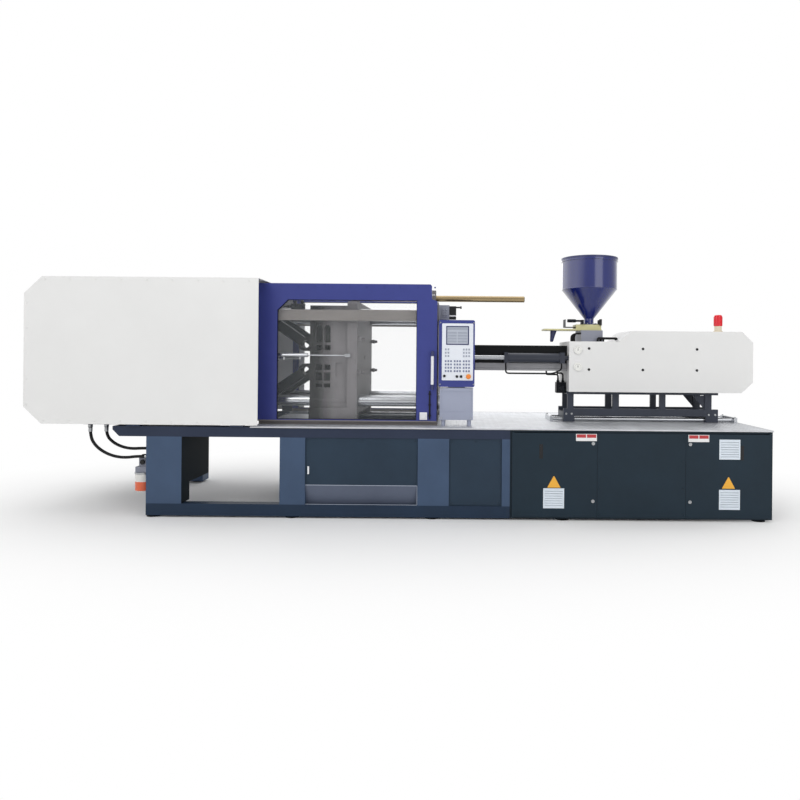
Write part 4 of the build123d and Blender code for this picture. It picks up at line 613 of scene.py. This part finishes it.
border = Shape()
border.flat_frame(rectangle(378, 591, 1583, 1759), rectangle(388, 581, 1593, 1749), -696, FASCIA_FACE)
border.piece("screen_border", EXTRA["navy"], "machine", "gate_paint", 0.8)
view = Shape()
field = (FASCIA_FACE, FASCIA_FACE + 0.6)
view.box((392, 577), field, (1722, 1744), 0.2)
for row in range(4):
    for x in ((394, 476), (486, 575)):
        view.box(x, field, (1606 + row * 27, 1624 + row * 27), 0.2)
view.piece("screen_fields", EXTRA["lens_grey"], "machine", "screen_glass")
for label, finish, z0, rows, groups in (("dark", "key", 1330, 4, ((368, 3), (452, 3), (536, 3))),
                                        ("light", "lens_grey", 1470, 3, ((368, 2), (536, 3)))):
    keys = Shape()
    for x0, columns in groups:
        for column in range(columns):
            for row in range(rows):
                x, z = x0 + column * 25, z0 + row * 31
                keys.box((x, x + 15), (-697.5, -693.8), (z, z + 17), 1.2)
    keys.piece(f"panel_keys_{label}", EXTRA[finish], "machine", "console_paint", 0.6)
knobs = Shape()
for x, z in ((481, 1288), (364, 1292), (520, 1288)):
    knobs.turned(1, (x, 0, z), [(-694, 13), (-700, 13), (-701, 10), (-708, 9.5), (-709, 8)], 20)
knobs.piece("panel_knobs", FINISH["gauge_black"], "machine", "gauge_black")
collar = Shape()
collar.turned(1, (589, 0, 1288), [(-693.9, 24), (-696, 24), (-699, 20), (-699, 12)], 28)
collar.piece("stop_collar", EXTRA["plate_yellow"], "machine", "slide_yellow")
console = Shape()
for x in (341, 615):
    for z in (900, 1168):
        console.screw(1, (x, CONSOLE_FACE, z), -1, 5, 3)
for z in (1215, 1790):
    for x in (325, 636):
        console.screw(1, (x, CONSOLE_FACE, z), -1, 5, 3)
console.piece("console_screws", EXTRA["screw_zinc"], "machine", "bright_steel")
rear_console = Shape()
for step in range(8):
    low = 1650 - step * 18
    section = ((-545, low), (-541.5, low - 3), (-541, low - 8), (-545, low - 9))
    rear_console.bar(section, 390, 566)
rear_console.piece("console_louvres", FINISH["gate_paint"], "machine", "gate_paint")

# Injection unit: cover screws, gauge dials, blank tags and pipes
unit = Shape()
for side in (-1, 1):
    for x in (1794, 2330, 2867):
        for z in (1566, 1357):
            unit.screw(1, (x, side * INJECTION_SIDE, z), side, 10, 6)
unit.piece("injection_cover_screws", FINISH["gauge_black"], "carriage", "gauge_black")
faces = Shape()
needles = Shape()
for z in (1383, 1550):
    faces.turned(1, (GAUGE_X, 0, z), [(-314, 35), (-314.6, 35), (-314.6, 34)], 28)
    needles.box((GAUGE_X - 1.4, GAUGE_X + 1.4), (-315.6, -314.8), (z - 6, z + 24), 0.3)
    needles.turned(1, (GAUGE_X, 0, z), [(-314.7, 4.5), (-316, 4.5), (-316.4, 3)], 14)
    for step in range(9):
        angle = radians(-40 + 32.5 * step)
        x, mark_z = GAUGE_X + 28 * cos(angle), z + 28 * sin(angle)
        needles.box((x - 1.6, x + 1.6), (-315.2, -314.6), (mark_z - 1.6, mark_z + 1.6), 0.2)
faces.piece("gauge_dials", EXTRA["dial"], "carriage", "fascia_white")
needles.piece("gauge_needles", FINISH["gauge_black"], "carriage", "gauge_black")
tags = Shape()
for z in (1436, 1602):
    tags.box((GAUGE_X - 30, GAUGE_X + 30), (-INJECTION_SIDE - 1.5, -INJECTION_SIDE), (z, z + 16), 0.5)
tags.piece("gauge_tags", EXTRA["plate_white"], "carriage", "fascia_white")


def pipe(name, points, radius):
    """A black pipe of the carriage through points, with short rounded bends."""
    curve = bpy.data.curves.new(name, "CURVE")
    curve.dimensions = "3D"
    curve.bevel_depth = radius * MM
    curve.bevel_resolution = 4
    curve.use_fill_caps = True
    line = curve.splines.new("POLY")
    bends = [Vector(points[0])]
    for before, corner, after in zip(points, points[1:], points[2:]):
        before, corner, after = Vector(before), Vector(corner), Vector(after)
        size = min(4 * radius, (before - corner).length * 0.45, (after - corner).length * 0.45)
        one = corner + (before - corner).normalized() * size
        two = corner + (after - corner).normalized() * size
        for step in range(7):
            t = step / 6
            bends.append(one * (1 - t) ** 2 + corner * 2 * t * (1 - t) + two * t * t)
    bends.append(Vector(points[-1]))
    line.points.add(len(bends) - 1)
    for spot, place in zip(line.points, bends):
        spot.co = (*(place * MM), 1)
    made = bpy.data.objects.new(name, curve)
    scene.collection.objects.link(made)
    curve.materials.append(FINISH["hose_rubber"])
    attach(made, "carriage")


pipe("seat_pipe_low", ((971, -250, 1418), (971, -250, 1312), (1440, -250, 1312), (1530, -250, 1350),
                       (1530, -250, 1418)), 8)
for step, x in enumerate((1900, 1935, 1970)):
    y = -200 + 30 * step
    pipe(f"cover_pipe_{step}", ((x, y, 1634), (x, y, 1672), (2085, y, 1672), (2098, y, 1660)), 11)
for step, y in enumerate((-150, -118, -86)):
    x = 1640 + 22 * step
    pipe(f"throat_pipe_{step}", ((x, y - 12, 1634), (x, y - 12, 1700), (1700, y, 1722), (1745, y, 1722)), 9)

# Valve block at the left end of the stand, with its fittings and elbows
block_shape = Shape()
block_shape.box((1500, 1597), (-130, -30), (1112, 1222), 3)
block_shape.box((1516, 1580), (-160, -130), (1130, 1200), 3)
block_shape.turned(1, (1548, 0, 1165), [(-196, 20), (-194, 22), (-164, 22), (-162, 24), (-160, 24)], 20)
for x in (1522, 1572):
    block_shape.turned(2, (x, -80, 0), [(1222, 16), (1240, 16), (1241, 11), (1262, 11)], 6)
block_shape.piece("stand_valve_block", FINISH["dark_steel"], "carriage", "dark_steel", 1.5)
for step, x in enumerate((1522, 1572)):
    turn_x, turn_z = x - 120 + 60 * step, 1300 + 14 * step
    pipe(f"stand_pipe_{step}", ((x, -80, 1255), (x, -80, turn_z), (turn_x, -80, turn_z), (turn_x, -80, 1335)), 9)

# Stand: gussets and bolts
stand = Shape()
for side in (-1, 1):
    stand.loops([[(2997, y, 1100), (2880, y, 1100), (2997, y, 965)] for y in outward(side, 150, 160)])
stand.piece("stand_gussets", FINISH["stand_paint"], "carriage", "stand_paint")
stand_bolts = Shape()
for x in (1595, 1650, 3040, 3105):
    for side in (-1, 1):
        stand_bolts.screw(1, (x, side * 170, 905), side, 8, 7)
for x in (1446, 3314):
    for y in (-150, 150):
        stand_bolts.screw(2, (x, y, 877), 1, 8, 7)
stand_bolts.piece("stand_bolts", EXTRA["screw_zinc"], "carriage", "bright_steel")

# Barrel guard: folded edges, lighter lower panels and cap screws
guard = Shape()
for z0, z1 in ((1339, 1362), (1571, 1594)):
    for side in (-1, 1):
        guard.box((665, 1596), outward(side, 170, 174), (z0, z1), 1.5)
guard.piece("guard_edges", FINISH["guard_paint"], "carriage", "guard_paint")
guard_panels = Shape()
for side in (-1, 1):
    guard_panels.box((668, 1594), outward(side, 170.2, 172.6), (1363, 1414), 0.8)
    for x in range(700, 1590, 140):
        guard_panels.screw(1, (x, side * 172.6, 1388), side, 5, 3)
guard_panels.piece("guard_lower_panels", EXTRA["guard_grey"], "carriage", "rail_paint")
guard_low = Shape()
for side in (-1, 1):
    guard_low.box((668, 1594), outward(side, 173.6, 174.6), (1341, 1361), 0.4)
guard_low.piece("guard_lower_edges", EXTRA["guard_grey"], "carriage", "rail_paint")

# Hopper: rolled rim, neck bolts, knob below the slide plate, lever and swing hinge
rim = Shape()
rim.turned(2, (HOPPER_X, 0, 0), [(2176, 281.5), (2178, 283.5), (2184, 283.5), (2186, 281.5)], 64)
rim.piece("hopper_band", FINISH["hopper_blue"], "hopper", "hopper_blue")
neck = Shape()
for step in range(8):
    angle = radians(22.5 + 45 * step)
    neck.screw(2, (HOPPER_X + 74 * cos(angle), 74 * sin(angle), 1825), 1, 7, 8)
neck.piece("hopper_neck_bolts", EXTRA["screw_zinc"], "hopper", "bright_steel")
knob = Shape()
for z, size in ((1753, 30), (1749, 33)):
    knob.turned(2, (1480, -20, 0), [(z - 4, size - 1), (z, size)], 28)
turns = [pi * step / 12 for step in range(24)]
knob.loops([[(x + size * cos(turn), -20 + size * 0.7 * sin(turn), z) for turn in turns]
            for z, x, size in ((1745, 1480, 32), (1735, 1478, 31), (1700, 1472, 25), (1665, 1466, 20),
                               (1644, 1463, 17), (1636, 1462, 11))])
knob.piece("slide_knob", EXTRA["navy"], "carriage", "hopper_blue")
lever = Shape()
lever.turned(0, (0, -118, 1850), [(1606, 12), (1610, 17), (1690, 17), (1696, 10), (1762, 10)], 20)
lever.box((1750, 1776), (-124, -60), (1815, 1862), 3)
lever.piece("hopper_lever", FINISH["dark_steel"], "hopper", "dark_steel", 1)
hinge_block = Shape()
hinge_block.box((1925, 1958), (-100, -62), (1815, 1862), 4)
hinge_block.turned(2, (1948, -112, 0), [(1806, 12), (1808, 14), (1868, 14), (1870, 12)], 18)
hinge_block.piece("hopper_swing_hinge", FINISH["gauge_black"], "hopper", "gauge_black", 1)

# Lubricator: cap, pressure gauge, oil in the jar, chrome tube and ring
oiler = Shape()
oiler.turned(2, LUBRICATOR, [(500, 24), (504, 27), (526, 27), (530, 22)], 24)
oiler.turned(1, (-2450, 0, 462), [(-675, 22), (-690, 22), (-692, 20)], 24)
oiler.piece("lubricator_cap", FINISH["gauge_black"], "machine", "gauge_black")
oil = Shape()
oil.turned(2, LUBRICATOR, [(189.2, 66), (193, 75), (200, 80), (204, 80.8), (282, 80.8), (284, 79.5)], 48)
oil.piece("jar_oil", FINISH["jar_plastic"], "machine", "jar_plastic")
chrome = Shape()
chrome.turned(2, (-2400, -670, 0), [(420, 7), (560, 7), (562, 6)], 14)
chrome.turned(2, LUBRICATOR, [(352, 82.5), (354, 84), (366, 84), (368, 82.5)], 40)
chrome.piece("lubricator_tube", EXTRA["screw_zinc"], "machine", "bright_steel")

# Beacon: ribs of the lens
lens_ribs = Shape()
for step in range(20):
    angle = 2 * pi * step / 20
    x, y = 3134 + 40.4 * cos(angle), -150 + 40.4 * sin(angle)
    lens_ribs.turned(2, (x, y, 0), [(1812, 1.2), (1814, 2), (1898, 2), (1900, 1.2)], 8)
lens_ribs.piece("beacon_ribs", FINISH["beacon_red"], "carriage", "beacon_red")

# Safety bar: white mark line on the housing, bolts of the bracket
bracket_bolts = Shape()
for x in (150, 250):
    for side in (-1, 1):
        bracket_bolts.screw(1, (x, -330 + side * 58, 2020), side, 7, 5)
bracket_bolts.piece("safety_bolts", EXTRA["screw_zinc"], "machine", "bright_steel")
marks = Shape()
marks.box((146, 262), (-389.4, -388), (2072, 2080), 0.4)
marks.piece("safety_mark", EXTRA["plate_white"], "machine", "fascia_white")

# Tail platen: caps of the rear toggle pins
pins = Shape()
for z in (1325, 1585):
    for side in (-1, 1):
        pins.turned(1, (-1770, 0, z), [(side * 269, 50), (side * 277, 50), (side * 279, 46)], 32)
pins.piece("rear_pin_caps", FINISH["bright_steel"], "machine", "bright_steel")

# Floor: pale round the machine, and fading into the white backdrop for the rays that show it
FLOOR_REACH = 60
FADE_SPAN = (1.6, 3.6)
MIRRORED_FLOOR = 0.45
floor_mesh = bpy.data.meshes.new("floor")
floor_mesh.from_pydata([(x * FLOOR_REACH, y * FLOOR_REACH, 0) for x, y in ((-1, -1), (1, -1), (1, 1), (-1, 1))],
                       [], [(0, 1, 2, 3)])
floor = bpy.data.objects.new("floor", floor_mesh)
scene.collection.objects.link(floor)
pale = surface("pale_floor", (244, 244, 244), 0.8, spread=0.01, patch=0.3)
floor_mesh.materials.append(pale)
tree = pale.node_tree
place = add_node(tree, "ShaderNodeTexCoord").outputs["Object"]
flattened = add_node(tree, "ShaderNodeMapping", {"Vector": place, "Scale": (0.62, 1, 1)}).outputs["Vector"]
distance = add_node(tree, "ShaderNodeVectorMath", {0: flattened}, "LENGTH").outputs["Value"]
fade = map_range(tree, distance, FADE_SPAN)
fade.interpolation_type = "SMOOTHSTEP"
rays = add_node(tree, "ShaderNodeLightPath").outputs
mirrored = compute(tree, "MULTIPLY", rays["Is Glossy Ray"], MIRRORED_FLOOR)
seen = compute(tree, "MAXIMUM", rays["Is Camera Ray"], mirrored)
seen = compute(tree, "MAXIMUM", seen, rays["Is Transmission Ray"])
share = compute(tree, "MULTIPLY", seen, fade.outputs["Result"])
white = add_node(tree, "ShaderNodeEmission", {"Strength": 1.0}).outputs[0]
lit = tree.nodes["Principled BSDF"].outputs[0]
mixed = add_node(tree, "ShaderNodeMixShader", {0: share, 1: lit, 2: white}).outputs[0]
tree.links.new(mixed, tree.nodes["Material Output"].inputs["Surface"])

# World: camera and transmitted rays see a white backdrop, and the others half of it and half of a
# second sky. That one is even for diffuse rays. For shiny surfaces it is bright on the clamp's side,
# behind the machine and above, and dim elsewhere.
AMBIENT = 0.42
BACKDROP_SHARE = 0.5
SKY_GAINS = (("X", (-0.9, -0.45), (2.2, 0.0)), ("Y", (0.2, 0.9), (0.0, 0.8)), ("Z", (0.35, 0.9), (0.12, 0.5)))
WHITE = (1, 1, 1, 1)
world = bpy.data.worlds.new("studio")
scene.world = world
world.use_nodes = True
sky = world.node_tree
rays = add_node(sky, "ShaderNodeLightPath").outputs
way = add_node(sky, "ShaderNodeTexCoord").outputs["Generated"]
parts = add_node(sky, "ShaderNodeSeparateXYZ", {0: way}).outputs
by_x, by_y, by_z = (map_range(sky, parts[axis], span, gains).outputs["Result"] for axis, span, gains in SKY_GAINS)
graded = compute(sky, "ADD", compute(sky, "ADD", by_x, by_y), by_z)
reflected = compute(sky, "MULTIPLY", graded, rays["Is Glossy Ray"])
diffuse = compute(sky, "MULTIPLY_ADD", rays["Is Glossy Ray"], -AMBIENT, AMBIENT)
second = sky.nodes["Background"]
second.inputs["Color"].default_value = WHITE
second.inputs["Strength"].default_value = AMBIENT
sky.links.new(compute(sky, "ADD", diffuse, reflected), second.inputs["Strength"])
backdrop = add_node(sky, "ShaderNodeBackground", {"Color": WHITE, "Strength": 1.0})
shown = compute(sky, "MAXIMUM", rays["Is Camera Ray"], BACKDROP_SHARE)
shown = compute(sky, "MAXIMUM", shown, rays["Is Transmission Ray"])
blend = add_node(sky, "ShaderNodeMixShader", {0: shown, 1: second.outputs[0], 2: backdrop.outputs[0]})
sky.links.new(blend.outputs[0], sky.nodes["World Output"].inputs["Surface"])


def lamp(name, place, aim, size, power):
    """A square area light that faces its aim, with its width in metres and its power in watts."""
    light = bpy.data.lights.new(name, "AREA")
    light.shape = "SQUARE"
    light.size = size
    light.energy = power
    made = bpy.data.objects.new(name, light)
    made.location = place
    made.rotation_euler = (Vector(aim) - Vector(place)).to_track_quat("-Z", "Y").to_euler()
    scene.collection.objects.link(made)


lamp("key_light", (-4.5, -8.5, 7.5), (0, 0, 1.2), 5, 245)
lamp("fill_light", (6.5, -9.0, 4.0), (0.5, 0, 1.0), 6, 165)
lamp("top_light", (0, 0.5, 9.0), (0, 0, 0), 8, 185)
lamp("rear_light", (1.0, 9.0, 6.0), (0, 0, 1.0), 7, 180)
